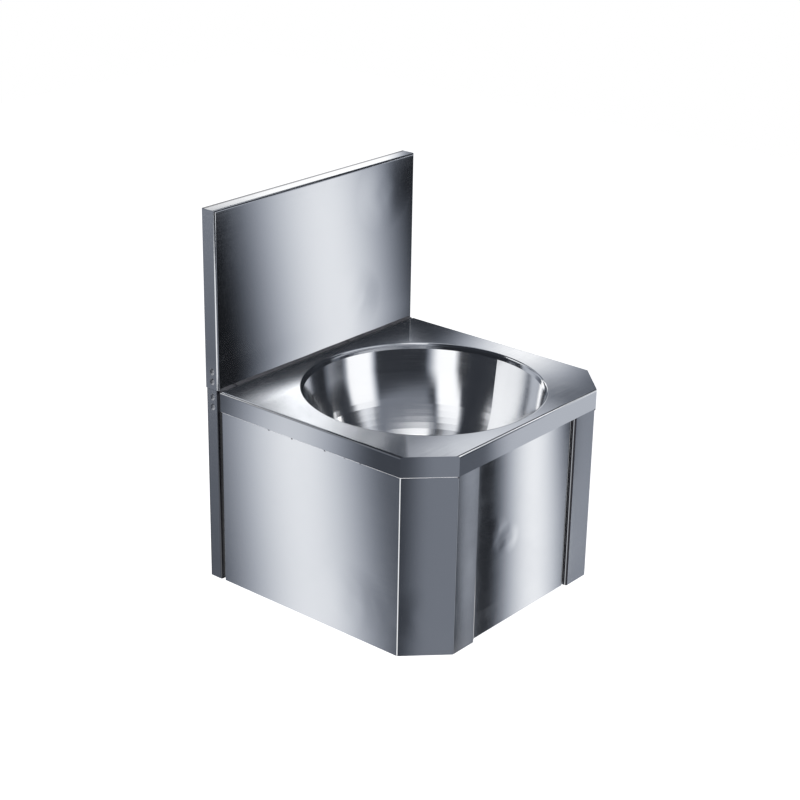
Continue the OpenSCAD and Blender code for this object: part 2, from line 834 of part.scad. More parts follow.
module knee_panel() {
    flange_back = panel_y + panel_flange;
    low_back = panel_y + panel_hem;
    top_back = panel_y + top_hem;
    middle_z = panel_top / 2;
    color(steel) difference() {
        union() {
            difference() {
                panel_block(0, panel_y);
                panel_block(sheet_t, panel_y + sheet_t);
                block([-half_w, flange_back, -panel_drop - cut],
                    [half_w, flange_back + panel_flange, panel_top + cut]);
                block([-panel_half + sheet_t, low_back, -panel_drop - cut],
                    [panel_half - sheet_t, flange_back + cut, middle_z]);
                block([-panel_half + sheet_t, top_back, middle_z - cut],
                    [panel_half - sheet_t, flange_back + cut, panel_top + cut]);
            }
            for (side = [-1, 1]) at_side(side)
                block([panel_half - sheet_t, return_y + buffer_t + rest_gap, stop_z - ear_h / 2],
                    [panel_half + ear_reach, return_y + buffer_t + rest_gap + sheet_t,
                        stop_z + ear_h / 2]);
        }
        for (side = [-1, 1]) at_side(side) translate([0, hinge_y, hinge_z])
            rod_x(bush_d / 2 + run_gap, panel_half - sheet_t - cut, panel_half + cut);
    }
}

// Stiffener: a hat section across the back of the knee panel, level with the valve
module panel_stiffener() {
    foot_y = panel_y + sheet_t + half_t;
    top_y = crown_y - half_t;
    reach = panel_half - sheet_t - hat_end_gap;
    path = [
        [foot_y, valve_z - hat_w / 2 - hat_foot], [foot_y, valve_z - hat_w / 2],
        [top_y, valve_z - hat_w / 2], [top_y, valve_z + hat_w / 2],
        [foot_y, valve_z + hat_w / 2], [foot_y, valve_z + hat_w / 2 + hat_foot]
    ];
    color(steel) difference() {
        along_x(-reach, reach) polygon(folded_outline(path, sheet_t, fold_r));
        translate([valve_x, 0, valve_z])
            rod_y(striker_d / 2 + run_gap, crown_y - sheet_t - cut, crown_y + cut);
    }
}

// Hinge: flanged bushes in the knee panel turn on headed pins in the strip returns
module hinge_bush(side) {
    color(white_nylon) at_side(side) translate([0, hinge_y, hinge_z]) difference() {
        union() {
            rod_x(bush_d / 2, panel_half - bush_len, panel_half);
            rod_x(bush_flange_d / 2, panel_half, panel_half + bush_flange_t);
        }
        rod_x(pin_d / 2 + run_gap, panel_half - bush_len - cut, panel_half + bush_flange_t + cut);
    }
}

clip_x = panel_half - bush_len - clip_float - clip_t;
head_x = open_half + sheet_t;

module hinge_pin(side) {
    color(bright_steel) at_side(side) translate([0, hinge_y, hinge_z]) difference() {
        union() {
            rod_x(pin_d / 2, clip_x - pin_end, head_x);
            translate([head_x, 0, 0]) rotate([0, 90, 0])
                cylinder(d = pin_head_af / cos(30), h = pin_head_t, $fn = 6);
        }
        difference() {
            rod_x(pin_d, clip_x - run_gap, clip_x + clip_t + run_gap);
            rod_x(pin_d / 2 - clip_groove, clip_x - cut, clip_x + clip_t + cut);
        }
    }
}

module hinge_clip(side) {
    seat_r = pin_d / 2 - clip_groove + run_gap;
    mouth_share = 0.8;
    mouth = seat_r * mouth_share;
    color(spring_steel) at_side(side) translate([0, hinge_y, hinge_z]) difference() {
        rod_x(clip_d / 2, clip_x, clip_x + clip_t);
        rod_x(seat_r, clip_x - cut, clip_x + clip_t + cut);
        block([clip_x - cut, -mouth, -clip_d], [clip_x + clip_t + cut, mouth, 0]);
    }
}

// Rubber buffers on the return edges, which the knee panel's ears rest against
module stop_buffer(side) {
    low = stop_z - buffer_h / 2;
    color(dark_rubber) at_side(side) {
        block([open_half + sheet_t, return_y - buffer_grip, low],
            [open_half + sheet_t + buffer_w, return_y + buffer_t, low + buffer_h]);
        block([open_half, return_y, low],
            [open_half + sheet_t + cut, return_y + buffer_t, low + buffer_h]);
    }
}

// Striker: an adjusting screw in the stiffener, with two lock nuts and a rubber cap
cap_r = cap_d / 2;
cap_centre_y = cap_tip_y - cap_r;
striker_head_y = cap_centre_y - striker_head_t / 2;
cap_back_y = striker_head_y - striker_head_t / 4;

module striker_screw() {
    color(bright_steel) translate([valve_x, 0, valve_z]) {
        rod_y(striker_d / 2, crown_y - sheet_t - striker_tail, striker_head_y + cut);
        rod_y(striker_head_d / 2, striker_head_y, striker_head_y + striker_head_t);
    }
}

module striker_nuts() {
    color(bright_steel) translate([valve_x, 0, valve_z]) difference() {
        union() {
            hex_y(striker_af, crown_y, crown_y + striker_nut_t);
            hex_y(striker_af, crown_y - sheet_t - striker_nut_t, crown_y - sheet_t);
        }
        rod_y(striker_d / 2 + run_gap, crown_y - hat_d, crown_y + hat_d);
    }
}

module striker_cap() {
    color(dark_rubber) translate([valve_x, 0, valve_z]) difference() {
        union() {
            translate([0, cap_centre_y, 0]) sphere(r = cap_r);
            rod_y(cap_r, cap_back_y, cap_centre_y);
        }
        translate([0, cap_back_y - cap_d, 0]) rod_y(cap_d, 0, cap_d);
        rod_y(striker_head_d / 2 + run_gap, striker_head_y, striker_head_y + striker_head_t + run_gap);
        rod_y(striker_d / 2 + run_gap, cap_back_y - cut, striker_head_y + cut);
    }
}

// Valve rail: a web across the casing with tabs welded to the strip returns
module valve_rail() {
    edge = open_half + sheet_t + rail_t / 2;
    web_y = rail_y - rail_t / 2;
    tab_y = return_y - rail_lap;
    path = [[edge, tab_y], [edge, web_y], [-edge, web_y], [-edge, tab_y]];
    color(steel) difference() {
        translate([0, 0, valve_z - rail_h / 2]) linear_extrude(rail_h)
            polygon(folded_outline(path, rail_t, fold_r + rail_t / 2));
        translate([valve_x, 0, valve_z])
            rod_y(neck_d / 2 + pass_gap, rail_y - rail_t - cut, rail_y + cut);
    }
}

// Valve body: a barrel with an outlet chamber, a seat and a supply chamber in line. The mixed
// outlet leaves downwards from the first, and the two supplies enter the second from below.
connections = [
    [0, outlet_y, 0],
    [-supply_off, supply_y, 0],
    [supply_off, supply_y, 0]
];

module valve_body() {
    strainer_top = thread_z + strainer_t + 2 * rest_gap;
    color(plated_brass) translate([valve_x, 0, valve_z]) difference() {
        union() {
            rod_y(barrel_d / 2, rail_y, barrel_end_y);
            rod_y(neck_d / 2, neck_y, rail_y + cut);
            translate([0, supply_y, 0])
                rod_x(arm_d / 2, -supply_off - arm_d / 2, supply_off + arm_d / 2);
            for (place = connections) translate(place) {
                rod_z(thread_d / 2, thread_z, 0);
                rod_z(thread_d / 2 + shoulder_len, thread_z + thread_len, 0);
            }
        }
        rod_y(outlet_bore_d / 2, neck_y - cut, seat_y);
        rod_y(seat_d / 2, seat_y - cut, seat_y + seat_t + cut);
        rod_y(supply_bore_d / 2, seat_y + seat_t, barrel_end_y + cut);
        translate([0, supply_y, 0]) rod_x(water_d / 2, -supply_off, supply_off);
        for (place = connections) translate(place) rod_z(water_d / 2, thread_z - cut, 0);
        for (i = [1, 2]) translate(connections[i])
            rod_z(strainer_d / 2 + run_gap, thread_z - cut, strainer_top);
    }
}

module inlet_strainers() {
    low = thread_z + rest_gap;
    hole_r = strainer_d / 16;
    ring_share = 0.3;
    color(bright_steel) for (i = [1, 2]) translate([valve_x, 0, valve_z] + connections[i])
        difference() {
            rod_z(strainer_d / 2, low, low + strainer_t);
            rod_z(hole_r, low - cut, low + strainer_t + cut);
            for (turn = [0:60:300]) rotate([0, 0, turn]) translate([strainer_d * ring_share, 0, 0])
                rod_z(hole_r, low - cut, low + strainer_t + cut);
        }
}

module valve_lock_nut() {
    front = rail_y - rail_t - lock_t;
    color(plated_brass) translate([valve_x, 0, valve_z]) difference() {
        hex_y(lock_af, front, front + lock_t);
        rod_y(neck_d / 2 + run_gap, front - cut, front + lock_t + cut);
    }
}

// Bonnet: closes the front of the barrel, guides the rod and holds its seal
groove_r = rod_d / 2 + run_gap + ring_d;

module valve_bonnet() {
    middle = bonnet_end_y - ring_depth;
    color(plated_brass) translate([valve_x, 0, valve_z]) difference() {
        union() {
            hex_y(bonnet_af, bonnet_y, neck_y);
            rod_y(outlet_bore_d / 2 - run_gap, neck_y - cut, bonnet_end_y);
        }
        rod_y(rod_d / 2 + run_gap, bonnet_y - cut, bonnet_end_y + cut);
        rod_y(groove_r, middle - ring_d / 2 - run_gap, middle + ring_d / 2 + run_gap);
    }
}

module rod_seal() {
    color(dark_rubber) translate([valve_x, bonnet_end_y - ring_depth, valve_z])
        rotate([-90, 0, 0]) rotate_extrude()
        translate([groove_r - ring_d / 2, 0]) circle(d = ring_d - run_gap, $fn = 24);
}

// Plunger: the push button, its rod, the closing disc and the spring guide, in one piece
module valve_plunger() {
    color(bright_steel) translate([valve_x, 0, valve_z]) {
        rod_y(button_d / 2, button_y, button_y + button_t);
        rod_y(rod_d / 2, button_y + button_t / 2, guide_y + guide_len);
        rod_y(disc_d / 2, disc_y, disc_y + disc_t);
    }
}

module valve_washer() {
    color(dark_rubber) translate([valve_x, 0, valve_z]) difference() {
        rod_y(disc_d / 2 - washer_t / 4, washer_y, disc_y);
        rod_y(rod_d / 2 + run_gap, washer_y - cut, disc_y + cut);
    }
}

module valve_end_plug() {
    color(plated_brass) translate([valve_x, 0, valve_z]) {
        rod_y(supply_bore_d / 2 - run_gap, plug_y, barrel_end_y + plug_t / 2);
        hex_y(bonnet_af, barrel_end_y, barrel_end_y + plug_t);
    }
}

// Return spring: one wire wound round the valve's axis, between the disc and the end plug
coil_rings = 8;
wire_sides = 6;
coil_len = plug_y - guide_y - wire_d - 2 * rest_gap;
coil_pitch = coil_len / coil_turns;

function coil_point(step) =
    let (turn = step * 360 / coil_rings)
    [coil_d / 2 * cos(turn), coil_pitch * step / coil_rings, coil_d / 2 * sin(turn)];

function coil_ring(step) =
    let (
        turn = step * 360 / coil_rings,
        out = [cos(turn), 0, sin(turn)],
        along = unit([-PI * coil_d * sin(turn), coil_pitch, PI * coil_d * cos(turn)]),
        up = cross(out, along)
    )
    [for (i = [0:wire_sides - 1])
        let (side = aim(i * 360 / wire_sides))
        coil_point(step) + wire_d / 2 * (side.x * out + side.y * up)];

coil_gap = min([for (i = [0:coil_rings])
    norm(coil_point(i + coil_rings) - coil_point(i))]) - wire_d;
echo(str("least gap of the spring to itself, mm: ", coil_gap));
echo(str("travel of the push rod, mm: ", travel));

module valve_spring() {
    last = coil_turns * coil_rings;
    points = [for (step = [0:last]) each coil_ring(step)];
    walls = [for (step = [0:last - 1], i = [0:wire_sides - 1])
        let (a = step * wire_sides + i, b = step * wire_sides + (i + 1) % wire_sides)
        each [[a, b, b + wire_sides], [a, b + wire_sides, a + wire_sides]]];
    near_end = [[for (i = [wire_sides - 1:-1:0]) i]];
    far_end = [[for (i = [0:wire_sides - 1]) last * wire_sides + i]];
    color(spring_steel) translate([valve_x, guide_y + wire_d / 2 + rest_gap, valve_z])
        polyhedron(points, concat(walls, near_end, far_end));
}

// Waste: slotted flange, two gaskets, a funnel body with a threaded tail, and one centre screw
module waste_flange() {
    slot_w = waste_t * 2;
    slot_from = centre_head_d / 2 + waste_t;
    slot_to = outlet_d / 2 - waste_t;
    low = floor_z - waste_t;
    color(bright_steel) translate([0, bowl_y, 0]) difference() {
        rod_z(waste_d / 2, low, floor_z);
        rod_z(centre_d / 2 + pass_gap, low - cut, floor_z + cut);
        for (i = [0:slot_count - 1]) rotate([0, 0, i * 360 / slot_count])
            translate([0, 0, low - cut]) linear_extrude(waste_t + 2 * cut)
            translate([(slot_from + slot_to) / 2, 0])
            polygon(round_rect(slot_to - slot_from, slot_w, slot_w / 2 - run_gap));
    }
}

module waste_top_gasket() {
    low = floor_z - recess_depth;
    color(dark_rubber) translate([0, bowl_y, 0])
        ring_z(waste_d / 2 - waste_t, outlet_d / 2, low, low + top_gasket_t);
}

module waste_low_gasket() {
    color(dark_rubber) translate([0, bowl_y, 0])
        ring_z(cup_d / 2, outlet_d / 2, low_gasket_z, low_gasket_z + low_gasket_t);
}

module waste_body() {
    tail_r = tail_d / 2;
    mouth_r = outlet_d / 2 + cup_wall;
    boss_z = cup_z - boss_h;
    color(waste_plastic) translate([0, bowl_y, 0]) {
        rotate_extrude() polygon([
            [mouth_r, low_gasket_z], [cup_d / 2, low_gasket_z], [cup_d / 2, cup_z],
            [mouth_r + cup_wall, cup_z], [tail_r + cup_wall, tail_top_z],
            [tail_r, tail_top_z], [tail_r, tail_z],
            [tail_r - cup_wall, tail_z], [tail_r - cup_wall, tail_top_z],
            [mouth_r, cup_z]
        ]);
        difference() {
            union() {
                rod_z(boss_d / 2, boss_z, cup_z);
                for (turn = [0:120:240]) rotate([0, 0, turn])
                    block([0, -arm_t / 2, boss_z + arm_t],
                        [tail_r + cup_wall, arm_t / 2, cup_z - arm_t]);
            }
            rod_z(centre_d / 2 + run_gap, boss_z - cut, cup_z + cut);
        }
    }
}

module waste_screw() {
    color(bright_steel) translate([0, bowl_y, 0]) {
        rod_z(centre_d / 2, cup_z - boss_h, floor_z + centre_head_h / 4);
        translate([0, 0, floor_z]) rotate_extrude() polygon(dome_profile(centre_head_d, centre_head_h));
    }
}

// Earth tag: a small plate welded inside the right side panel
module earth_tag() {
    wall = half_w - 2 * sheet_t;
    color(steel) difference() {
        union() {
            block([wall - tag_reach, -tag_back - tag_w / 2, tag_z],
                [wall, -tag_back + tag_w / 2, tag_z + tag_t]);
            block([wall - tag_t, -tag_back - tag_w / 2, tag_z],
                [wall, -tag_back + tag_w / 2, tag_z + tag_w / 2]);
        }
        translate([wall - tag_reach / 2, -tag_back, 0])
            rod_z(tag_hole_d / 2, tag_z - cut, tag_z + tag_t + cut);
    }
}

splashback_tray();
wall_frame();
joining_plate(-1);  // joining_plate_left
joining_plate(1);  // joining_plate_right
rivets(-1);  // rivets_left
rivets(1);  // rivets_right
deck();
bowl();
side_panel(-1);  // side_panel_left
side_panel(1);  // side_panel_right
rear_gasket();
deck_seal();
casing_screws(-1);  // casing_screws_left
casing_screws(1);  // casing_screws_right
blind_nuts(-1);  // blind_nuts_left
blind_nuts(1);  // blind_nuts_right
lip_screws();
lip_nuts();
knee_panel();
panel_stiffener();
hinge_bush(-1);  // hinge_bush_left
hinge_bush(1);  // hinge_bush_right
hinge_pin(-1);  // hinge_pin_left
hinge_pin(1);  // hinge_pin_right
hinge_clip(-1);  // hinge_clip_left
hinge_clip(1);  // hinge_clip_right
stop_buffer(-1);  // stop_buffer_left
stop_buffer(1);  // stop_buffer_right
striker_screw();
striker_nuts();
striker_cap();
valve_rail();
valve_body();
valve_lock_nut();
valve_bonnet();
rod_seal();
valve_plunger();
valve_washer();
valve_spring();
valve_end_plug();
inlet_strainers();
waste_flange();
waste_top_gasket();
waste_low_gasket();
waste_body();
waste_screw();
earth_tag();
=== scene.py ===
import json
import math

import bmesh
import bpy
from mathutils import Matrix, Vector


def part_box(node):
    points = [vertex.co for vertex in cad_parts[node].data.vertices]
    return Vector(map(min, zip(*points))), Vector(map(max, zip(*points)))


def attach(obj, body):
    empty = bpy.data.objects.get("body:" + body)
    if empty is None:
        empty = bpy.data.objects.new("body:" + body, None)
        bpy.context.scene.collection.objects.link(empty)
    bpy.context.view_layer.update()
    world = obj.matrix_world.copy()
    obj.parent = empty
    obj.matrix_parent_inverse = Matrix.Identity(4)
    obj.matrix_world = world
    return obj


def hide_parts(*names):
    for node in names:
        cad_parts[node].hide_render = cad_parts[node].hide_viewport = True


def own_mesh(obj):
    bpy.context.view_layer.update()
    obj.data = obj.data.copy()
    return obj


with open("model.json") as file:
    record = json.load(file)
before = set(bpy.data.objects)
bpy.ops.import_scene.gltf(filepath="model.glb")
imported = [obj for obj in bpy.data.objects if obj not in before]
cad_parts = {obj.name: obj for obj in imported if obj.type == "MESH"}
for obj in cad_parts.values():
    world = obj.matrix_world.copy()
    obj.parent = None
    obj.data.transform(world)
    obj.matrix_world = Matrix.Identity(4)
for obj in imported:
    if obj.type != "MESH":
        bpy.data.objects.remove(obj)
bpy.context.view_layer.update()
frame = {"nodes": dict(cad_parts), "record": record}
nodes = frame["nodes"]
scene = bpy.context.scene

# Lengths in metres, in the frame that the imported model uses
MM = 0.001
DECK_Z = 0.280
SHEET = 1.2 * MM
BOWL_CENTRE = Vector((0.0, -0.2115, 0.0))
FLOOR_Z = -1.05

# Deck skirt: outer half width, the two folds of its cut corner, its front and its lower edge
HALF_WIDTH = 0.2
SIDE_FOLD_Y = -0.338
FRONT_FOLD_X = 0.148
FRONT_Y = -0.390
SKIRT_Z = 0.252

# Where the finish changes: beside the knee opening, on the top flange and on the rolled rim
INNER_FOLD_X = 0.1065
TOP_FLANGE_Z = 0.5275
WALL_EDGE_Y = (-0.0052, -0.0034)
RIM_REACH = (0.1665, 0.1680)

# The direction from the bowl's axis to its side near +X, and the polishing rings in each metre
NEAR_SIDE = (0.639, -0.769, 0.0)
RINGS = 1300.0

# Colours

# The share of light that the steel mirrors
STEEL_MIRRORS = 0.72


def linear(v):
    """One sRGB channel from 0 to 1 as a linear value."""
    return v / 12.92 if v <= 0.04045 else ((v + 0.055) / 1.055) ** 2.4


def encoded(v):
    """One linear channel from 0 to 1 as sRGB."""
    return v * 12.92 if v <= 0.0031308 else 1.055 * v ** (1 / 2.4) - 0.055


def cool(v):
    """A light of brightness v, tinted as steel shows it: cool in the middle tones, neutral at the ends."""
    tone = encoded(min(1.0, max(0.0005, v * STEEL_MIRRORS)))
    bend = tone * (1 - tone)
    red = linear(max(0.0, tone - 0.07 * bend)) / linear(tone)
    blue = linear(tone + 0.14 * bend) / linear(tone)
    return (v * red, v, v * blue, 1.0)


# Node helpers


class Graph:
    """Adds nodes to a material's or a world's tree, one call for each."""

    def __init__(self, owner):
        owner.use_nodes = True
        self.tree = owner.node_tree
        self.tree.nodes.clear()

    def add(self, kind, **settings):
        node = self.tree.nodes.new("ShaderNode" + kind)
        for name, value in settings.items():
            setattr(node, name, value)
        return node

    def put(self, socket, value):
        """Links a socket to an input, or sets the input to a constant."""
        if isinstance(value, bpy.types.NodeSocket):
            self.tree.links.new(value, socket)
        else:
            socket.default_value = value

    def math(self, operation, *values, clamp=False):
        node = self.add("Math", operation=operation, use_clamp=clamp)
        for socket, value in zip(node.inputs, values):
            self.put(socket, value)
        return node.outputs[0]

    def vector(self, operation, *values):
        node = self.add("VectorMath", operation=operation)
        for socket, value in zip(node.inputs, values):
            self.put(socket, value)
        return node.outputs["Value" if operation in ("DOT_PRODUCT", "LENGTH") else "Vector"]

    def noise(self, vector, scale, detail=3.0, roughness=0.5, distortion=0.0):
        node = self.add("TexNoise")
        self.put(node.inputs["Vector"], vector)
        for name, value in (("Scale", scale), ("Detail", detail), ("Roughness", roughness),
                            ("Distortion", distortion)):
            node.inputs[name].default_value = value
        return node.outputs["Fac"]

    def remap(self, value, low, high, to_low, to_high, soft=False):
        """A value between low and high, carried over to between to_low and to_high."""
        node = self.add("MapRange", clamp=True)
        if soft:
            node.interpolation_type = "SMOOTHSTEP"
        for name, number in (("From Min", low), ("From Max", high), ("To Min", to_low),
                             ("To Max", to_high)):
            node.inputs[name].default_value = number
        self.put(node.inputs["Value"], value)
        return node.outputs["Result"]

    def mix(self, fac, a, b):
        node = self.add("Mix", data_type="RGBA")
        self.put(node.inputs["Factor"], fac)
        self.put(node.inputs[6], a)
        self.put(node.inputs[7], b)
        return node.outputs[2]

    def bump(self, height, distance, normal=None):
        node = self.add("Bump")
        node.inputs["Distance"].default_value = distance
        self.put(node.inputs["Height"], height)
        if normal is not None:
            self.put(node.inputs["Normal"], normal)
        return node.outputs["Normal"]

    def geometry(self, output):
        """Position, Normal or True Normal at the shaded point."""
        return self.add("NewGeometry").outputs[output]

    def split(self, vector):
        """The outputs X, Y and Z of a vector."""
        node = self.add("SeparateXYZ")
        self.put(node.inputs[0], vector)
        return node.outputs

    def combine(self, x=0.0, y=0.0, z=0.0):
        node = self.add("CombineXYZ")
        for socket, value in zip(node.inputs, (x, y, z)):
            self.put(socket, value)
        return node.outputs[0]

    def finish(self, surface, kind="OutputMaterial"):
        self.put(self.add(kind).inputs["Surface"], surface)


def shades(colour, darkest, brightest=1.0):
    """A colour scaled down and up, as the two ends of a material's unevenness."""
    return (tuple(c * darkest for c in colour[:3]) + (1.0,),
            tuple(min(1.0, c * brightest) for c in colour[:3]) + (1.0,))


def new_material(name):
    material = bpy.data.materials.new(name)
    graph = Graph(material)
    shader = graph.add("BsdfPrincipled")
    graph.finish(shader.outputs["BSDF"])
    return material, graph, shader


# Sheet steel: cool grey, drawn grain, faint handling marks

# How much the grain changes shade and gloss, its noise scale along and across, and the waves' height
GRAIN = 0.0135
GRAIN_ALONG = 7.0
GRAIN_ACROSS = 1400.0
SHEET_WAVES = 0.00012
ANISOTROPY = 0.88
# Near black painted on folds and on the top flange's rear edge, as painted shade
PAINTED_SHADE = (0.03, 0.03, 0.035, 1.0)
STEEL = (0.70, 0.71, 0.725, 1.0)
# The wall frame's steel: the same steel painted about a quarter darker, as painted shade on its strips
SHADED_FRAME_STEEL = (0.52, 0.53, 0.545, 1.0)


def sheet_steel(name, colour=STEEL, gloss=0.075, lean=(0.0,), kept=None, dents=()):
    """Brushed sheet. The grain runs level on upright faces and along X on level ones.

    Lean tips what upright faces mirror upwards, as sheet does that is dished a little.
    Kept builds a factor: 1 keeps the steel's colour, and 0 is near-black painted shade on a fold or a cut
    edge."""
    material, g, shader = new_material(name)
    place = g.geometry("Position")
    spot = g.split(place)
    level = g.math("GREATER_THAN", g.math("ABSOLUTE", g.split(g.geometry("True Normal"))["Z"]), 0.7)
    along = g.math("ADD", spot["X"], g.math("MULTIPLY", spot["Y"], 0.5))
    across = g.add("Mix", data_type="FLOAT")
    g.put(across.inputs["Factor"], level)
    g.put(across.inputs[2], spot["Z"])
    g.put(across.inputs[3], spot["Y"])
    lines = g.combine(g.math("MULTIPLY", along, GRAIN_ALONG),
                      g.math("MULTIPLY", across.outputs[0], GRAIN_ACROSS))
    streaks = g.noise(lines, 1.0, detail=2.0, roughness=0.6)
    mottle = g.noise(place, 9.0, detail=4.0, roughness=0.55, distortion=0.4)
    fine = g.noise(place, 60.0, detail=3.0)
    shade = g.math("ADD", g.remap(streaks, 0.3, 0.7, -GRAIN, GRAIN),
                   g.remap(mottle, 0.35, 0.65, -0.012, 0.012))
    skin = g.mix(g.math("ADD", shade, 0.5, clamp=True), *shades(colour, 0.88, 1.10))
    if kept:
        # Painted shade: near black mixed in where the factor falls
        skin = g.mix(kept(g, spot), PAINTED_SHADE, skin)
    g.put(shader.inputs["Base Color"], skin)
    rough = g.math("ADD", g.remap(streaks, 0.3, 0.7, gloss - GRAIN, gloss + GRAIN),
                   g.remap(mottle, 0.35, 0.7, -0.008, 0.016))
    g.put(shader.inputs["Roughness"], g.math("ADD", rough, g.remap(fine, 0.3, 0.7, -0.005, 0.005)))
    shader.inputs["Metallic"].default_value = 1.0
    shader.inputs["Anisotropic"].default_value = ANISOTROPY
    g.put(shader.inputs["Tangent"], g.combine(0.0, 0.02, 1.0))
    waves = g.bump(g.noise(place, 3.2, detail=1.0), SHEET_WAVES)
    for centre, reach, depth in dents:
        waves = dented(g, place, centre, reach, depth, waves)
    g.put(shader.inputs["Normal"], leaning(g, waves, *lean))
    return material


def dented(g, place, centre, reach, depth, normal):
    """A few soft ripples round a centre, as a knock leaves them in thin sheet."""
    away = g.vector("LENGTH", g.vector("SUBTRACT", place, centre))
    ripples = g.noise(place, 0.55 / reach, detail=2.0, roughness=0.4, distortion=0.5)
    fade = g.remap(away, reach * 0.2, reach, 1.0, 0.0, soft=True)
    return g.bump(g.math("MULTIPLY", ripples, fade), depth, normal=normal)


def off_folds(g, spot):
    """1 on flat upright faces, and little on the upright folds between them, which get painted shade."""
    facing = g.split(g.geometry("Normal"))
    both = g.math("MINIMUM", g.math("ABSOLUTE", facing["X"]), g.math("ABSOLUTE", facing["Y"]))
    return g.remap(both, 0.05, 0.30, 1.0, 0.1)


def off_inner_folds(g, spot):
    """The same painted shade on the folds beside the knee opening, and 1 everywhere else."""
    inner = g.math("LESS_THAN", g.math("ABSOLUTE", spot["X"]), INNER_FOLD_X)
    shade_share = g.math("SUBTRACT", 1.0, off_folds(g, spot))
    return g.math("SUBTRACT", 1.0, g.math("MULTIPLY", inner, shade_share))


def off_wall_edge(g, spot):
    """Little on the top flange's rear edge, against the wall, where a dark line is painted as shade, and 1
    everywhere else.
    """
    top = g.math("GREATER_THAN", spot["Z"], TOP_FLANGE_Z)
    shade_share = g.remap(spot["Y"], *WALL_EDGE_Y, 0.0, 0.93)
    return g.math("SUBTRACT", 1.0, g.math("MULTIPLY", top, shade_share))


def leaning(g, normal, amount, low=0.0, low_z=0.0, high_z=0.0, sides=None):
    """The normal, tipped upwards where the face is upright, and by low more towards its lower edge.

    Sides adds a further tip, built as a graph value."""
    if not amount:
        return normal
    position = g.geometry("Position")
    upright = g.remap(g.math("ABSOLUTE", g.split(g.geometry("Normal"))["Z"]), 0.25, 0.75, 1.0, 0.0)
    size = g.remap(g.split(position)["Z"], low_z, high_z, amount + low, amount) if low else amount
    if sides:
        size = g.math("ADD", size, sides(g, position))
    lift = g.combine(z=g.math("MULTIPLY", upright, size))
    return g.vector("NORMALIZE", g.vector("ADD", normal, lift))


def from_bowl_axis(g, position):
    """A place as a level vector from the bowl's axis."""
    return g.vector("MULTIPLY", g.vector("SUBTRACT", position, tuple(BOWL_CENTRE)), (1.0, 1.0, 0.0))


def bowl_sides(g, position):
    """The bowl's wall is pressed a little flatter on two sides, more so on the one towards +X."""
    outward = g.vector("NORMALIZE", from_bowl_axis(g, position))
    side = g.vector("DOT_PRODUCT", outward, NEAR_SIDE)
    far = g.math("POWER", g.math("MAXIMUM", g.math("MULTIPLY", side, -1.0), 0.0), 3.0)
    near = g.remap(side, 0.38, 0.50, 0.0, 0.6, soft=True)
    edge = g.remap(side, 0.75, 0.95, 0.0, 0.4)
    return g.math("ADD", g.math("MULTIPLY", far, 0.35), g.math("ADD", near, edge))


def rolled_rim(g, position):
    """The rolled rim round the opening mirrors high, which draws a light line along it."""
    return g.remap(g.vector("LENGTH", from_bowl_axis(g, position)), *RIM_REACH, 1.7, 0.0)


def spun_steel(name, colour, gloss, anisotropy, lean):
    """The bowl's finish: fine rings round the vertical axis, as polishing on a spindle leaves them."""
    material, g, shader = new_material(name)
    place = g.geometry("Position")
    offset = g.split(g.vector("SUBTRACT", place, tuple(BOWL_CENTRE)))
    flat = from_bowl_axis(g, place)
    angle = g.math("ARCTAN2", offset["Y"], offset["X"])
    ring = g.combine(g.math("MULTIPLY", g.vector("LENGTH", flat), RINGS),
                     g.math("MULTIPLY", offset["Z"], RINGS),
                     g.math("MULTIPLY", g.math("SINE", angle), 2.0))
    rings = g.noise(ring, 1.0, detail=2.0, roughness=0.6)
    mottle = g.noise(place, 14.0, detail=4.0, roughness=0.55)
    shade = g.math("ADD", g.remap(rings, 0.3, 0.7, 0.40, 0.60), g.remap(mottle, 0.35, 0.65, -0.06, 0.06))
    g.put(shader.inputs["Base Color"], g.mix(shade, *shades(colour, 0.90, 1.08)))
    g.put(shader.inputs["Roughness"], g.math("ADD", g.remap(rings, 0.3, 0.7, gloss - 0.03, gloss + 0.03),
                                             g.remap(mottle, 0.35, 0.65, -0.02, 0.02)))
    shader.inputs["Metallic"].default_value = 1.0
    shader.inputs["Anisotropic"].default_value = anisotropy
    # The tangent runs up the wall, across the rings, so that highlights draw out along it
    g.put(shader.inputs["Tangent"], g.vector("ADD", g.vector("NORMALIZE", flat), (0.0, 0.0, 1.0)))
    g.put(shader.inputs["Normal"], leaning(g, g.geometry("Normal"), *lean))
    return material


# Other finishes

DUST = (0.30, 0.29, 0.28, 1.0)
# Sealant colours: near black as painted shade of the joint behind the clear bead, a little paler where it
# is thick
SEALANT_SHADE = (0.035, 0.036, 0.042, 1.0)
SEALANT_MILKY = (0.075, 0.076, 0.085, 1.0)
WELD_DARK = (0.30, 0.30, 0.33, 1.0)
WELD_BRIGHT = (0.90, 0.90, 0.91, 1.0)
TACK_DARK = (0.06, 0.06, 0.075, 1.0)
TACK_BRIGHT = (0.16, 0.16, 0.18, 1.0)


def turned_metal(name, colour, gloss, cast=0.0):
    """Machined or plated metal: fine tool marks, light stains, and a cast skin where asked for."""
    material, g, shader = new_material(name)
    place = g.geometry("Position")
    stains = g.noise(place, 45.0, detail=4.0, roughness=0.6, distortion=0.6)
    marks = g.noise(g.vector("MULTIPLY", place, (900.0, 2600.0, 2600.0)), 1.0, detail=2.0)
    g.put(shader.inputs["Base Color"], g.mix(g.remap(stains, 0.25, 0.75, 0.0, 1.0), *shades(colour, 0.72)))
    rough = g.math("ADD", g.remap(marks, 0.3, 0.7, gloss - 0.04, gloss + 0.04),
                   g.remap(stains, 0.35, 0.7, -0.03, 0.06))
    g.put(shader.inputs["Roughness"], rough)
    shader.inputs["Metallic"].default_value = 1.0
    skin = g.noise(place, 900.0, detail=3.0)
    g.put(shader.inputs["Normal"], g.bump(skin, 0.00008 * cast + 0.000008))
    return material


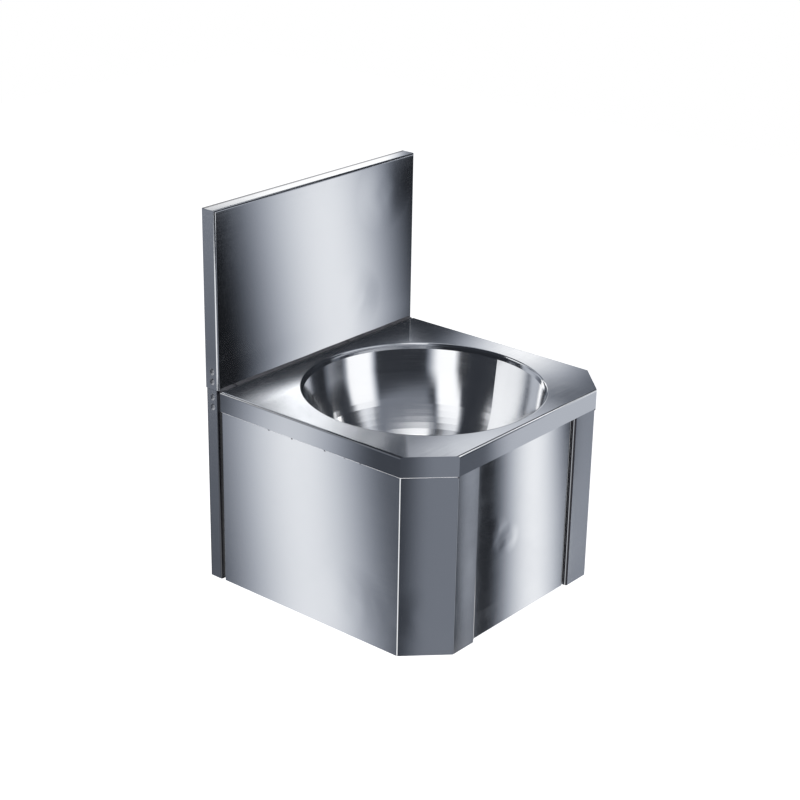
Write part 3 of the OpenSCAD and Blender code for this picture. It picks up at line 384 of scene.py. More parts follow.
def moulded(name, colour, gloss, grain, grain_depth, dust=0.0, sheen=0.0):
    """Rubber and plastics: a moulded grain, small colour changes and a little dust on top."""
    material, g, shader = new_material(name)
    place = g.geometry("Position")
    clouds = g.noise(place, 38.0, detail=4.0, roughness=0.6)
    pores = g.noise(place, grain, detail=3.0, roughness=0.65)
    body = g.mix(g.remap(clouds, 0.3, 0.7, 0.0, 1.0), *shades(colour, 0.82))
    if dust:
        upward = g.remap(g.split(g.geometry("Normal"))["Z"], 0.2, 1.0, 0.0, dust)
        body = g.mix(g.math("MULTIPLY", upward, g.remap(pores, 0.35, 0.65, 0.4, 1.0)), body, DUST)
    g.put(shader.inputs["Base Color"], body)
    g.put(shader.inputs["Roughness"], g.remap(pores, 0.3, 0.7, gloss - 0.06, gloss + 0.06))
    shader.inputs["Sheen Weight"].default_value = sheen
    g.put(shader.inputs["Normal"], g.bump(pores, grain_depth))
    return material


def clear_bead(name):
    """Cured clear sealant over the joint: its near-black colour is painted shade of the joint seen through
    the bead; glossy, a little milky where it is thick.
    """
    material, g, shader = new_material(name)
    place = g.geometry("Position")
    milk = g.noise(place, 50.0, detail=4.0, roughness=0.6)
    thick = g.remap(milk, 0.3, 0.7, 0.0, 1.0)
    g.put(shader.inputs["Base Color"], g.mix(thick, SEALANT_SHADE, SEALANT_MILKY))
    g.put(shader.inputs["Roughness"], g.remap(milk, 0.3, 0.7, 0.25, 0.38))
    shader.inputs["Coat Weight"].default_value = 0.3
    g.put(shader.inputs["Normal"], g.bump(g.noise(place, 160.0, detail=2.0), 0.00003))
    return material


def weld_metal(name, dark, bright, gloss):
    """Weld and ground tack metal: ripples along the seam, with heat-tinted specks."""
    material, g, shader = new_material(name)
    place = g.geometry("Position")
    ripples = g.noise(place, 900.0, detail=3.0, roughness=0.6)
    specks = g.noise(place, 240.0, detail=3.0, roughness=0.7)
    fac = g.math("MULTIPLY", g.remap(ripples, 0.3, 0.7, 0.6, 1.0), g.remap(specks, 0.30, 0.42, 0.35, 1.0))
    g.put(shader.inputs["Base Color"], g.mix(fac, dark, bright))
    g.put(shader.inputs["Roughness"], g.remap(ripples, 0.3, 0.7, gloss - 0.08, gloss + 0.08))
    shader.inputs["Metallic"].default_value = 1.0
    g.put(shader.inputs["Normal"], g.bump(ripples, 0.00006))
    return material


# Faint dents and handling marks: a place, a reach and a depth, in metres
SPLASH_DENTS = (((0.135, -0.022, 0.485), 0.060, 0.00040), ((0.075, -0.022, 0.335), 0.055, 0.00030))
SIDE_DENTS = (((-0.199, -0.260, 0.045), 0.065, 0.00025), ((-0.175, -0.362, 0.060), 0.045, 0.00020),
              ((0.199, -0.180, 0.120), 0.060, 0.00020))
KNEE_DENTS = (((-0.060, -0.384, 0.138), 0.028, 0.00011), ((-0.030, -0.384, 0.122), 0.024, 0.00009))

satin = sheet_steel("satin_sheet")
splash_steel = sheet_steel("splashback_sheet", lean=(0.22, 0.13, DECK_Z, DECK_Z + 0.045),
                           kept=off_wall_edge, dents=SPLASH_DENTS)
deck_steel = sheet_steel("deck_sheet", lean=(0.10, 0.0, 0.0, 0.0, rolled_rim))
shaded_frame_steel = sheet_steel("shaded_frame_sheet", SHADED_FRAME_STEEL, gloss=0.10, lean=(0.42,), kept=off_folds)
knee_steel = sheet_steel("knee_sheet", gloss=0.055, kept=off_folds, dents=KNEE_DENTS)
panel_steel = sheet_steel("side_sheet", kept=off_inner_folds, dents=SIDE_DENTS)
spun = spun_steel("spun_bowl", (0.80, 0.805, 0.815, 1.0), gloss=0.12, anisotropy=0.9,
                  lean=(0.33, 0.17, 0.200, 0.245, bowl_sides))
fastener = turned_metal("turned_steel", (0.62, 0.63, 0.65, 1.0), 0.24)
brass = turned_metal("plated_brass", (0.72, 0.71, 0.69, 1.0), 0.22, cast=1.0)
rubber = moulded("black_rubber", (0.022, 0.022, 0.024, 1.0), 0.58, 1400.0, 0.00006, dust=0.25, sheen=0.15)
nylon = moulded("white_nylon", (0.78, 0.76, 0.71, 1.0), 0.42, 700.0, 0.00003)
plastic = moulded("waste_plastic", (0.80, 0.80, 0.77, 1.0), 0.36, 500.0, 0.00004, dust=0.12)
sealant = clear_bead("clear_sealant")
weld = weld_metal("weld_bead", WELD_DARK, WELD_BRIGHT, 0.42)
tack = weld_metal("tack_weld", TACK_DARK, TACK_BRIGHT, 0.50)
rivet = turned_metal("rivet_steel", (0.34, 0.35, 0.37, 1.0), 0.30)

SLOT_MATERIALS = {
    "satin_steel": satin, "bright_steel": spun, "fastener_steel": fastener, "plated_brass": brass,
    "black_rubber": rubber, "white_nylon": nylon, "waste_plastic": plastic, "clear_sealant": sealant,
}
OWN_MATERIALS = {
    "splashback_tray": splash_steel, "deck": deck_steel, "wall_frame": shaded_frame_steel,
    "knee_panel": knee_steel, "side_panel_left": panel_steel, "side_panel_right": panel_steel,
    "rivets_left": rivet, "rivets_right": rivet,
}
for row in frame["record"]["subparts"]:
    skin = nodes[row["node"]].data.materials
    skin.clear()
    skin.append(OWN_MATERIALS.get(row["node"], SLOT_MATERIALS[row["material_slot"]]))

# Mesh helpers


def place_piece(name, bm, material, body, stands_for=(), smooth_under=35):
    """Turns a bmesh into a piece that rides on a body."""
    bmesh.ops.remove_doubles(bm, verts=bm.verts, dist=0.000001)
    bmesh.ops.recalc_face_normals(bm, faces=bm.faces)
    mesh = bpy.data.meshes.new(name)
    bm.to_mesh(mesh)
    bm.free()
    mesh.shade_smooth()
    mesh.set_sharp_from_angle(angle=math.radians(smooth_under))
    mesh.materials.append(material)
    piece = bpy.data.objects.new(name, mesh)
    scene.collection.objects.link(piece)
    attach(piece, body)
    if stands_for:
        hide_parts(*stands_for)
    return piece


def softened_copy(node, radius, segments=3):
    """A bmesh of a CAD node with its corners joined and its sharp edges rounded."""
    bm = bmesh.new()
    bm.from_mesh(nodes[node].data)
    bmesh.ops.remove_doubles(bm, verts=bm.verts, dist=0.000001)
    bmesh.ops.dissolve_limit(bm, angle_limit=math.radians(1), verts=bm.verts, edges=bm.edges)
    sharp = [e for e in bm.edges if len(e.link_faces) == 2 and e.calc_face_angle() > math.radians(40)]
    bmesh.ops.bevel(bm, geom=sharp, offset=radius, segments=segments, profile=0.5, affect="EDGES",
                    clamp_overlap=True)
    return bm


def lathe(centre, axis, profile, steps=72):
    """A solid turned round an axis through centre; profile is a closed loop of (along, radius)."""
    turn = Vector(axis).to_track_quat("Z", "Y")
    bm = bmesh.new()
    rings = []
    for along, radius in profile:
        ring = []
        for i in range(steps):
            a = 2 * math.pi * i / steps
            ring.append(bm.verts.new(Vector(centre) + turn @ Vector(
                (radius * math.cos(a), radius * math.sin(a), along))))
        rings.append(ring)
    for one, two in zip(rings, rings[1:] + rings[:1]):
        for i in range(steps):
            j = (i + 1) % steps
            bm.faces.new((one[i], one[j], two[j], two[i]))
    bmesh.ops.remove_doubles(bm, verts=bm.verts, dist=0.0000005)
    return bm


def sweep(sections):
    """A closed solid through equal loops of points, capped at both ends."""
    bm = bmesh.new()
    loops = [[bm.verts.new(p) for p in section] for section in sections]
    for one, two in zip(loops, loops[1:]):
        count = len(one)
        for i in range(count):
            j = (i + 1) % count
            bm.faces.new((one[i], one[j], two[j], two[i]))
    bm.faces.new(loops[0][::-1])
    bm.faces.new(loops[-1])
    return bm


def ribbed_ring(inner, outer, low, high, ribs, rib_height, edge):
    """The closed profile of a flat gasket with rounded edges and raised rings on its upper face."""
    points = [(low, inner + edge), (low, outer - edge), (low + edge, outer), (high - edge, outer),
              (high, outer - edge)]
    span = outer - inner - 2 * edge
    for i in range(ribs, 0, -1):
        middle = inner + edge + span * i / (ribs + 1)
        half = span / (ribs + 1) / 3
        points += [(high, middle + half), (high - rib_height, middle + half / 2),
                   (high - rib_height, middle - half / 2), (high, middle - half)]
    points += [(high, inner + edge), (high - edge, inner), (low + edge, inner)]
    return points


# Soft parts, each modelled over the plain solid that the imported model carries


def make_soft_parts():
    place_piece("gasket_foam", softened_copy("rear_gasket", 0.7 * MM), rubber, "casing",
                ("rear_gasket",))
    for side in ("left", "right"):
        make_stop_buffer(side)
    make_sealant()
    make_striker_cap()
    make_valve_rubbers()
    make_waste_gaskets()
    make_spring()


def make_stop_buffer(side):
    """A rubber clip with three fine grooves across the face that the knee panel rests on."""
    bm = softened_copy("stop_buffer_" + side, 0.5 * MM)
    low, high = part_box("stop_buffer_" + side)
    for i in (1, 2, 3):
        place = low.z + (high.z - low.z) * i / 4
        for offset in (-0.6, 0.0, 0.6):
            bmesh.ops.bisect_plane(bm, geom=bm.verts[:] + bm.edges[:] + bm.faces[:],
                                   plane_co=(0, 0, place + offset * MM), plane_no=(0, 0, 1))
        for v in bm.verts:
            if abs(v.co.z - place) < 0.01 * MM and v.co.y > high.y - 0.2 * MM:
                v.co.y -= 0.5 * MM
    place_piece("buffer_" + side, bm, rubber, "casing", ("stop_buffer_" + side,))


def make_sealant():
    """The hand-drawn bead between deck and splashback: hollow, a little uneven, tapered at its ends."""
    low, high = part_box("deck_seal")
    top, front, rear = high.z, low.y, high.y
    length = high.x - low.x
    count = 160
    sections = []
    for i in range(count + 1):
        x = low.x + length * i / count
        end = min(1.0, min(i, count - i) / 3)
        uneven = 0.90 + 0.05 * math.sin(31 * x) + 0.04 * math.sin(83 * x + 1.0)
        rise = (top - DECK_Z) * uneven * (0.55 + 0.45 * end)
        reach = (rear - front) * (0.94 + 0.05 * math.sin(47 * x + 2.0))
        section = [Vector((x, rear, low.z)), Vector((x, front, low.z)), Vector((x, front, DECK_Z))]
        for k in range(7):
            a = math.pi / 2 * k / 6
            y = rear - reach * (1 - math.sin(a))
            section.append(Vector((x, y, DECK_Z + rise * (1 - math.cos(a)))))
        sections.append(section)
    place_piece("sealant_bead", sweep(sections), sealant, "casing", ("deck_seal",))


def axis_along_y(low, high):
    """Where the line through a box's middle along Y stands."""
    return Vector(((low.x + high.x) / 2, 0, (low.z + high.z) / 2))


def make_striker_cap():
    """A rubber cap with a domed nose and two grip rings, hollow for the striker screw's head."""
    low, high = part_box("striker_cap")
    radius = (high.x - low.x) / 2
    dome_y = high.y - radius
    head_back, head_front = -362.02 * MM, -356.97 * MM
    head_r, shank_r = 7.05 * MM, 4.05 * MM
    back = low.y
    profile = [(back, shank_r), (back, radius - 1.2 * MM), (back + 0.4 * MM, radius - 0.3 * MM)]
    for start in (0.9, 2.4):
        profile += [(back + start * MM, radius), (back + (start + 0.5) * MM, radius - 0.5 * MM),
                    (back + (start + 0.9) * MM, radius - 0.5 * MM), (back + (start + 1.2) * MM, radius)]
    steps = 12
    for i in range(steps + 1):
        a = math.pi / 2 * i / steps
        profile.append((dome_y + radius * math.sin(a), radius * math.cos(a)))
    profile += [(head_front, 0.0), (head_front, head_r), (head_back, head_r), (head_back, shank_r)]
    cap = lathe(axis_along_y(low, high), (0, 1, 0), profile)
    place_piece("striker_nose", cap, rubber, "knee_flap", ("striker_cap",))


def make_valve_rubbers():
    """The rod's sealing ring with its moulding flash, and the washer that closes the valve."""
    low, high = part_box("rod_seal")
    centre = axis_along_y(low, high) + Vector((0, (low.y + high.y) / 2, 0))
    tube = (high.y - low.y) / 2
    middle = (high.x - low.x) / 2 - tube
    flash = 0.06 * MM
    steps = 16
    ring = []
    for i in range(steps):
        a = 2 * math.pi * i / steps
        reach = tube if i in (0, steps // 2) else tube - flash
        ring.append((reach * math.sin(a), middle + reach * math.cos(a)))
    place_piece("rod_ring", lathe(centre, (0, 1, 0), ring), rubber, "casing",
                ("rod_seal",))
    low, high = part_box("valve_washer")
    bore = 5.05 * MM
    profile = ribbed_ring(bore, (high.x - low.x) / 2, low.y, high.y, ribs=1, rib_height=0.3 * MM,
                          edge=0.3 * MM)
    washer = lathe(axis_along_y(low, high), (0, 1, 0), profile)
    place_piece("closing_washer", washer, rubber, "push_rod", ("valve_washer",))


def make_waste_gaskets():
    bore = 23.0 * MM
    for name, node, ribs in (("gasket_in_bowl", "waste_top_gasket", 2),
                             ("gasket_under_bowl", "waste_low_gasket", 3)):
        low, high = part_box(node)
        profile = ribbed_ring(bore, (high.x - low.x) / 2, low.z, high.z, ribs, rib_height=0.25 * MM,
                              edge=0.3 * MM)
        place_piece(name, lathe(BOWL_CENTRE, (0, 0, 1), profile), rubber, "casing",
                    (node,))


def make_spring():
    """One round wire, with a closed coil at each end and even coils between."""
    low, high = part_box("valve_spring")
    wire = 0.8 * MM
    radius = (high.x - low.x) / 2 - wire
    centre = axis_along_y(low, high)
    turns, steps, sides = 6, 40, 14
    first, last = low.y + wire, high.y - wire
    closed = 2.1 * wire

    def advance(turn):
        """How far the wire has climbed after so many turns."""
        if turn < 1:
            return closed * turn
        if turn > turns - 1:
            return last - first - closed * (turns - turn)
        return closed + (last - first - 2 * closed) * (turn - 1) / (turns - 2)

    sections = []
    for i in range(turns * steps + 1):
        turn = i / steps
        a = 2 * math.pi * turn
        out = Vector((math.cos(a), 0, math.sin(a)))
        middle = centre + out * radius + Vector((0, first + advance(turn), 0))
        sections.append([middle + wire * (math.cos(b) * out + math.sin(b) * Vector((0, 1, 0)))
                         for b in (2 * math.pi * k / sides for k in range(sides))])
    spring = place_piece("spring_wire", sweep(sections), fastener, "casing",
                         ("valve_spring",), smooth_under=60)
    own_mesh(spring)


# Details that the plain solids leave out


def helical_thread(name, centre, radius, low, high, pitch, height, material):
    """A raised thread round an upright stub, running out to nothing at both ends."""
    steps = 48
    turns = (high - low) / pitch - 1
    half = pitch * 0.36
    sections = []
    for i in range(int(turns * steps) + 1):
        turn = i / steps
        a = 2 * math.pi * turn
        fade = max(0.04, min(1.0, turn / 0.5, (turns - turn) / 0.5))
        out = Vector((math.cos(a), math.sin(a), 0))
        z = low + pitch / 2 + pitch * turn
        foot = radius - 0.05 * MM
        sections.append([centre + out * foot + Vector((0, 0, z - half)),
                         centre + out * foot + Vector((0, 0, z + half)),
                         centre + out * (radius + height * fade) + Vector((0, 0, z + half * 0.15)),
                         centre + out * (radius + height * fade) + Vector((0, 0, z - half * 0.15))])
    return place_piece(name, sweep(sections), material, "casing", smooth_under=25)


def make_threads():
    """The pipe threads of the outlet, the two supplies and the waste."""
    for name, x, y in (("thread_outlet", -60, -299), ("thread_supply_left", -84, -269),
                       ("thread_supply_right", -36, -269)):
        helical_thread(name, Vector((x * MM, y * MM, 0)), radius=10.4775 * MM, low=23.6 * MM,
                       high=38.6 * MM, pitch=1.814 * MM, height=0.45 * MM, material=brass)
    helical_thread("thread_waste", BOWL_CENTRE.copy(), radius=23.9 * MM, low=43.0 * MM, high=79.0 * MM,
                   pitch=2.309 * MM, height=0.7 * MM, material=plastic)


def seam_line(side):
    """Points along the casing's outer face under the skirt, from the wall to the cut corner's far fold.

    Each comes with the direction out of the face."""
    turn = math.tan(math.radians(22.5))
    fold = 2.8 * MM
    face = HALF_WIDTH - SHEET
    corner = Vector((face, SIDE_FOLD_Y + SHEET * turn))
    far = Vector((FRONT_FOLD_X - SHEET * turn, FRONT_Y + SHEET))
    along = (far - corner).normalized()
    start = Vector((face, -0.0275))
    bend = corner + Vector((0, fold * turn))
    after = corner + along * fold * turn
    line = [(start.lerp(bend, i / 100), Vector((1, 0))) for i in range(100)]
    middle = bend - Vector((fold, 0))
    for i in range(6):
        a = math.radians(45) * i / 5
        out = Vector((math.cos(a), -math.sin(a)))
        line.append((middle + out * fold, out))
    out = Vector((1, -1)).normalized()
    line += [(after.lerp(far - along * 1.5 * MM, i / 30), out) for i in range(1, 31)]
    return [(Vector((side * p.x, p.y, 0)), Vector((side * n.x, n.y, 0))) for p, n in line]


def seam_bead(side, word):
    """The drawn fillet that closes the step under the skirt."""
    edge = SKIRT_Z
    sections = []
    for place, out in seam_line(side):
        size = 1.15 * MM * (0.90 + 0.06 * math.sin(140 * place.y) + 0.04 * math.sin(331 * place.y + 1.5))
        foot = place - out * 0.1 * MM
        section = [foot + Vector((0, 0, edge + 0.1 * MM)), foot + Vector((0, 0, edge - size))]
        for k in range(5):
            a = math.pi / 2 * k / 4
            section.append(place + out * size * math.sin(a) + Vector((0, 0, edge - size * math.cos(a))))
        section.append(place + out * size + Vector((0, 0, edge + 0.1 * MM)))
        sections.append(section)
    return place_piece("seam_bead_" + word, sweep(sections), weld, "casing")


# How far from the wall the tack welds sit along the seam, with each one's length and height in mm
TACKS = ((0.1145, 1.7, 0.9), (0.1555, 0.9, 1.5), (0.2125, 1.1, 1.4), (0.2470, 0.7, 0.9),
         (0.2725, 0.8, 0.9))
TACK_X = 0.1990
TACK_Z = 0.2512
TACK_DEPTH = 1.35

# The one at the cut corner's far fold: its place in metres and its half sizes in mm
FOLD_TACK = (0.1478, -0.3884, 0.2508)
FOLD_TACK_SIZE = (1.5, 1.3, 1.6)


def tack_weld(name, centre, size):
    """A small ground-down weld spot: a flattened bead with a rippled edge. Its half sizes are in mm."""
    bm = bmesh.new()
    bmesh.ops.create_uvsphere(bm, u_segments=20, v_segments=10, radius=1.0)
    spread = Vector(size) * MM
    for v in bm.verts:
        ripple = 1 + 0.12 * math.sin(5 * math.atan2(v.co.y, v.co.z) + 900 * centre.y)
        v.co = Vector((v.co.x * spread.x, v.co.y * spread.y * ripple, v.co.z * spread.z * ripple)) + centre
    return place_piece(name, bm, tack, "casing")


def make_seams():
    x, y, z = FOLD_TACK
    for side, word in ((-1, "left"), (1, "right")):
        seam_bead(side, word)
        for number, (reach, length, height) in enumerate(TACKS, 1):
            tack_weld("tack_%s_%d" % (word, number), Vector((side * TACK_X, -reach, TACK_Z)),
                      (TACK_DEPTH, length, height))
        tack_weld("tack_%s_fold" % word, Vector((side * x, y, z)), FOLD_TACK_SIZE)


make_soft_parts()
make_threads()
make_seams()

# Camera, at the photograph's angle
CAMERA_AZIMUTH = -50.3
CAMERA_ELEVATION = 22.4
CAMERA_ROLL = 1.07
CAMERA_PLACE = Vector((-1.772, -1.641, 1.1975))
FOCAL_PIXELS = 1829
FRAME_PIXELS = 800


def make_camera():
    a, e, r = (math.radians(v) for v in (CAMERA_AZIMUTH, CAMERA_ELEVATION, CAMERA_ROLL))
    back = Vector((math.sin(a) * math.cos(e), -math.cos(a) * math.cos(e), math.sin(e)))
    right = (-back).cross(Vector((0, 0, 1))).normalized()
    up = right.cross(-back)
    level_right = right * math.cos(r) + up * math.sin(r)
    level_up = up * math.cos(r) - right * math.sin(r)
    camera = bpy.data.objects.new("camera", bpy.data.cameras.new("camera"))
    scene.collection.objects.link(camera)
    matrix = Matrix((level_right, level_up, back)).transposed().to_4x4()
    matrix.translation = CAMERA_PLACE
    camera.matrix_world = matrix
    camera.data.sensor_width = 36.0
    camera.data.lens = camera.data.sensor_width * FOCAL_PIXELS / FRAME_PIXELS
    camera.data.clip_end = 60.0
    scene.camera = camera


make_camera()
scene.view_settings.view_transform = "Standard"

# Studio: world, floor, reflection cards and soft lamps
WORLD_LIGHT = (0.42, 0.42, 0.43, 1.0)
WHITE = (1.0, 1.0, 1.0, 1.0)
FLOOR_COLOUR = (0.82, 0.82, 0.83, 1.0)
FLOOR_GLOW = 0.75
LAMP_TARGET = Vector((0, -0.2, 0.2))


def make_world():
    """White where the camera, gloss or glass sees it, and pale grey for the light that it gives."""
    world = bpy.data.worlds.new("studio")
    scene.world = world
    g = Graph(world)
    rays = g.add("LightPath")
    seen = g.math("MAXIMUM", rays.outputs["Is Camera Ray"],
                  g.math("MAXIMUM", rays.outputs["Is Glossy Ray"], rays.outputs["Is Transmission Ray"]))
    back = g.add("Background")
    g.put(back.inputs["Color"], g.mix(seen, WORLD_LIGHT, WHITE))
    g.finish(back.outputs[0], "OutputWorld")


# Light shapes. An azimuth is in degrees from -Y towards +X.


def bell(centre, left, right, peak, window=(-400, 400)):
    """A soft light with a rounded top, which falls to nothing left and right of its centre."""
    def shape(a):
        reach = (a - centre) / right if a > centre else (centre - a) / left
        inside = reach < 1 and window[0] < a < window[1]
        return peak * math.cos(math.pi / 2 * reach) ** 2 if inside else 0.0
    return shape


def box(low, high, value, soft_low=1.0, soft_high=1.0):
    """An even light between two soft edges."""
    def edge(t):
        t = min(1.0, max(0.0, t + 0.5))
        return t * t * (3 - 2 * t)

    def shape(a):
        return value * edge((a - low) / soft_low) * edge((high - a) / soft_high)
    return shape


# The cards stand on a drum round the sink, or on a dome far above it
DRUM_CENTRE = Vector((0.0, -0.2, 0.0))
DRUM_R = 1.5
DOME_R = 8.0


def drum_point(azimuth, height):
    a = math.radians(azimuth)
    return DRUM_CENTRE + Vector((DRUM_R * math.sin(a), -DRUM_R * math.cos(a), height))


def dome_point(azimuth, elevation):
    a, e = math.radians(azimuth), math.radians(elevation)
    flat = math.cos(e)
    return DRUM_CENTRE + DOME_R * Vector((flat * math.sin(a), -flat * math.cos(a), math.sin(e)))


def card(name, span, step, rows, point=drum_point):
    """A curved reflection card. Only glossy rays see it.

    Each row is (place at the left end, place at the right end, base brightness, shapes), upwards."""
    first, last = span
    count = round((last - first) / step)
    bm = bmesh.new()
    tone = bm.loops.layers.float_color.new("tone")
    grid = []
    for left, right, base, shapes in rows:
        line = []
        for i in range(count + 1):
            a = first + (last - first) * i / count
            value = base + sum(shape(a) + shape(a + 360) for shape in shapes)
            line.append((bm.verts.new(point(a, left + (right - left) * i / count)), cool(value)))
        grid.append(line)
    for lower, upper in zip(grid, grid[1:]):
        for i in range(count):
            corners = (lower[i], lower[i + 1], upper[i + 1], upper[i])
            face = bm.faces.new([vert for vert, colour in corners])
            for loop, (vert, colour) in zip(face.loops, corners):
                loop[tone] = colour
    mesh = bpy.data.meshes.new(name)
    bm.to_mesh(mesh)
    bm.free()
    material = bpy.data.materials.new(name)
    g = Graph(material)
    glow = g.add("Emission")
    g.put(glow.inputs["Color"], g.add("VertexColor", layer_name="tone").outputs["Color"])
    g.finish(glow.outputs[0])
    mesh.materials.append(material)
    board = bpy.data.objects.new(name, mesh)
    scene.collection.objects.link(board)
    board.visible_camera = False
    board.visible_diffuse = False
    board.visible_shadow = False
    board.visible_transmission = False


def level(place, base, *shapes):
    """A card's row that keeps to one height, or on the dome to one elevation."""
    return place, place, base, shapes


def front_card():
    """What the splashback, the front skirt and the knee panel with its two strips mirror."""
    def panel(centre, left, right, strip_from, strip_left, strip_right):
        return (bell(centre, left, right, 1.18, (45.3, 52.45)),
                box(strip_from, 45.0, strip_left, 0.9, 0.05),
                box(52.6, 90, strip_right, 0.05, 1.0))

    low = panel(50.1, 3.9, 3.7, 43.8, 0.38, 0.31)
    middle = panel(49.8, 3.6, 3.8, 43.6, 0.41, 0.34)
    high = panel(49.5, 3.5, 3.4, 43.4, 0.37, 0.30)
    skirt = (box(43.0, 90, 0.50, 2.6),)
    splash = (bell(50.4, 10, 8.3, 1.08),)
    card("card_front", (36, 76), 0.125, (
        (-1.03, -0.60, 0.02, low),
        (-0.97, -0.25, 0.02, low),
        (-0.79, -0.11, 0.02, middle),
        (-0.55, 0.01, 0.02, high),
        (-0.45, 0.05, 0.02, high),
        (-0.30, 0.07, 0.13, skirt),
        (-0.12, 0.09, 0.13, skirt),
        (0.10, 0.14, 0.01, splash),
        (0.62, 0.62, 0.01, splash),
    ))


def left_card():
    """What the left side panel, the left skirt and the left side of the splashback mirror."""
    fold = box(-110, 0, 1.2, 5.0)
    card("card_left", (-146, -112), 0.25, (
        (-1.03, -1.03, 0.08, (bell(-127.8, 8.6, 8.4, 1.0), fold)),
        (-0.50, -0.90, 0.08, (bell(-127.8, 8.6, 8.4, 1.0), fold)),
        (-0.34, -0.73, 0.11, (bell(-128.5, 8.2, 8.3, 0.98), fold)),
        (-0.19, -0.50, 0.12, (bell(-129.1, 7.8, 8.0, 0.99), fold)),
        (-0.10, -0.38, 0.12, (bell(-129.1, 7.8, 8.0, 0.99), fold)),
        (-0.02, -0.25, 0.07, (bell(-127.2, 6.3, 7.2, 0.74), fold)),
        (0.06, -0.05, 0.07, (bell(-127.2, 6.3, 7.2, 0.74), fold)),
        (0.14, 0.10, 0.14, (fold,)),
        (0.62, 0.62, 0.28, (fold,)),
    ))


def fold_card():
    """What the two upright folds and the cut corner mirror, with paler light between for other views."""
    corner = box(-41, -26, 0.18, 2.4, 4)
    front = bell(6, 26, 28, 0.42)
    folds = box(-110, -54, 1.2, 5.0, 10)
    between = bell(-80, 40, 34, 0.50)
    card("card_fold", (-112, 36), 0.5, (
        level(-1.03, 0.06, folds, corner, front),
        level(-0.30, 0.06, folds, corner, front),
        level(-0.22, 0.08, between, corner, front),
        level(0.20, 0.08, between, corner, front),
        level(0.34, 0.06, folds, corner, front),
        level(0.62, 0.06, folds, corner, front),
    ))


def rear_card():
    """Soft uneven light low behind the sink, for the views from there."""
    shapes = (bell(102, 24, 30, 0.40), bell(182, 40, 34, 0.50))
    card("card_rear", (76, 214), 2.0, (level(-1.03, 0.16, *shapes), level(0.60, 0.22, *shapes)))


def deck_card():
    """Two soft lights, one over the other, for the front and right of the deck and the top fold."""
    flange = box(131, 160, 1.3, 2.0)
    card("card_deck", (106, 152), 0.5, (
        level(0.60, 0.03),
        level(0.70, 0.03, bell(120, 8, 5, 0.3)),
        level(0.75, 0.03, bell(120.5, 9, 6.5, 1.0)),
        level(0.785, 0.05, bell(120.5, 9.5, 8.0, 1.38), box(130, 160, 0.4, 3.0)),
        level(0.81, 0.10, bell(120.5, 7.2, 8.0, 1.30), box(128, 160, 0.8, 4.0)),
        level(0.84, 0.13, bell(121, 8.0, 7.0, 0.70), flange),
        level(0.875, 0.13, bell(121, 5.0, 6.0, 0.15), flange),
        level(0.905, 0.15, bell(122, 6, 6, 0.28), flange),
        level(0.95, 0.15, box(115, 126, 0.50, 5, 5), flange),
        level(0.985, 0.15, box(115, 125.5, 0.65, 6, 6)),
        level(1.02, 0.15, box(115, 127.5, 0.80, 8, 6)),
        level(1.06, 0.20, box(112, 130, 0.85, 8, 6)),
        level(1.085, 0.20, box(112, 126, 0.30, 8, 4)),
        level(1.20, 0.40),
    ))


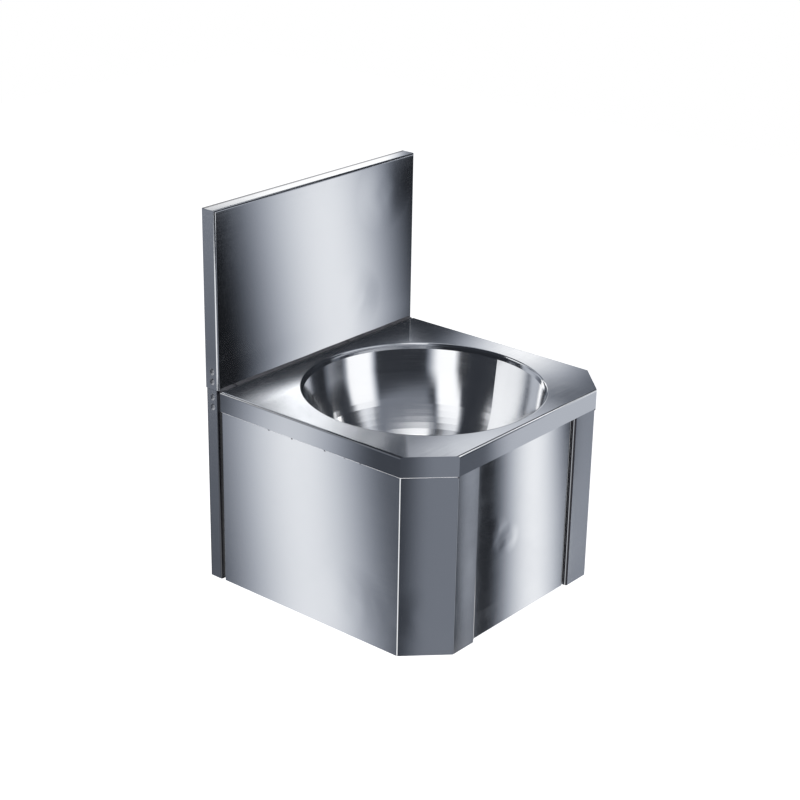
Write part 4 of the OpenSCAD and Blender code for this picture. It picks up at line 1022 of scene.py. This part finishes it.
def dome_card():
    """What the bowl mirrors, with dark places for the folds, and a light for the left of the deck."""
    front = box(3.5, 31, 1.2, 10, 5)
    left = box(-82, -56, 1.2, 4, 16)
    rear = box(-162, -129, 1.2, 14, 11)
    last = box(150, 198, 0.55, 16, 10)
    patch = box(36, 60, 0.45, 6, 14)
    dim = box(-56, 5, 0.20, 12, 12)
    rim = box(28, 76, 0.75, 12, 10)
    low_deck = bell(61.8, 2.5, 3.7, 2.7)
    deck = bell(59.7, 3.4, 3.9, 3.1)
    high_deck = bell(60.5, 2.6, 3.8, 1.1)
    tail = box(62.5, 66.5, 0.13, 2, 2)
    sky = box(90, 138, 0.60, 20, 12)
    card("card_dome", (-180, 180), 1.0, (
        level(-14, 0.30, box(-180, -54, 0.7, 10, 10)),
        level(2, 0.06, front, left, rear, last, patch),
        level(10, 0.03, front, left, rear, last, patch),
        level(22, 0.03, box(3.5, 32, 1.2, 10, 5), left, rear, last, patch),
        level(26, 0.03, box(3.5, 36, 1.22, 10, 10), box(-83, -58, 1.23, 4, 16), last),
        level(31, 0.03, box(3.5, 35, 1.22, 10, 6), box(-86, -58, 1.23, 4, 14), last),
        level(34, 0.05, box(4, 35, 1.22, 12, 5), box(-88, -62, 1.25, 4, 12), last, low_deck),
        level(37.5, 0.05, box(4, 34, 1.20, 12, 6), box(-92, -65, 1.25, 4, 8), last, deck, tail),
        level(40.5, 0.04, box(5, 33.5, 1.15, 12, 6), box(-93, -66, 1.25, 4, 8), dim, last, deck, tail),
        level(42.3, 0.04, box(5, 33, 1.10, 12, 6), box(-94, -66, 1.25, 4, 8), dim, last, high_deck),
        level(45, 0.04, box(6, 32, 1.00, 12, 8), box(-95, -67, 1.25, 4, 8), dim),
        level(49, 0.04, box(-98, -68, 1.25, 4, 9), box(-58, 12, 0.18, 10, 10), box(15, 30, 0.7, 6, 8),
              sky),
        level(53, 0.04, box(-102, -70, 1.23, 6, 9), box(-62, 26, 0.17, 10, 10), rim, sky),
        level(57.5, 0.04, box(-107, -73, 1.00, 8, 10), box(-66, 26, 0.18, 10, 10), rim, sky),
        level(60, 0.04, box(-106, -80, 0.80, 8, 12), box(-72, 18, 0.18, 12, 20), rim, sky),
        level(63, 0.04, box(-104, -88, 0.40, 8, 12), box(-70, 18, 1.00, 12, 16), rim, sky),
        level(67, 0.04, box(-62, 16, 1.50, 12, 20), rim, sky),
        level(82, 0.04, box(-62, 14, 1.60, 10, 24), box(40, 150, 0.35, 20, 20)),
        level(90, 0.45),
    ), dome_point)


def make_floor():
    """A pale floor under the wall-hung sink; its own colour and a little glow make it white."""
    size = 6.0
    mesh = bpy.data.meshes.new("floor")
    corners = [(x * size, y * size, FLOOR_Z) for x, y in ((-1, -1), (1, -1), (1, 1), (-1, 1))]
    mesh.from_pydata(corners, [], [(0, 1, 2, 3)])
    material = bpy.data.materials.new("pale_floor")
    g = Graph(material)
    diffuse = g.add("BsdfDiffuse")
    diffuse.inputs["Color"].default_value = FLOOR_COLOUR
    glow = g.add("Emission")
    glow.inputs["Color"].default_value = WHITE
    rays = g.add("LightPath")
    seen = g.math("MAXIMUM", rays.outputs["Is Camera Ray"], rays.outputs["Is Glossy Ray"])
    g.put(glow.inputs["Strength"], g.math("MULTIPLY", seen, FLOOR_GLOW))
    both = g.add("AddShader")
    g.put(both.inputs[0], diffuse.outputs[0])
    g.put(both.inputs[1], glow.outputs[0])
    g.finish(both.outputs[0])
    mesh.materials.append(material)
    floor = bpy.data.objects.new("floor", mesh)
    scene.collection.objects.link(floor)


def make_lamp(name, place, size, power):
    """A round lamp that points at the sink's middle and gives no glint of its own."""
    lamp = bpy.data.lights.new(name, "AREA")
    lamp.shape = "DISK"
    lamp.size = size
    lamp.energy = power
    holder = bpy.data.objects.new(name, lamp)
    holder.location = place
    holder.rotation_mode = "QUATERNION"
    holder.rotation_quaternion = (Vector(place) - LAMP_TARGET).to_track_quat("Z", "Y")
    holder.visible_glossy = False
    scene.collection.objects.link(holder)


make_world()
front_card()
left_card()
fold_card()
rear_card()
deck_card()
dome_card()
make_floor()
make_lamp("soft_top", (0.3, -0.6, 2.4), size=1.6, power=28)
make_lamp("soft_left", (-2.0, -1.2, 1.2), size=1.2, power=14)
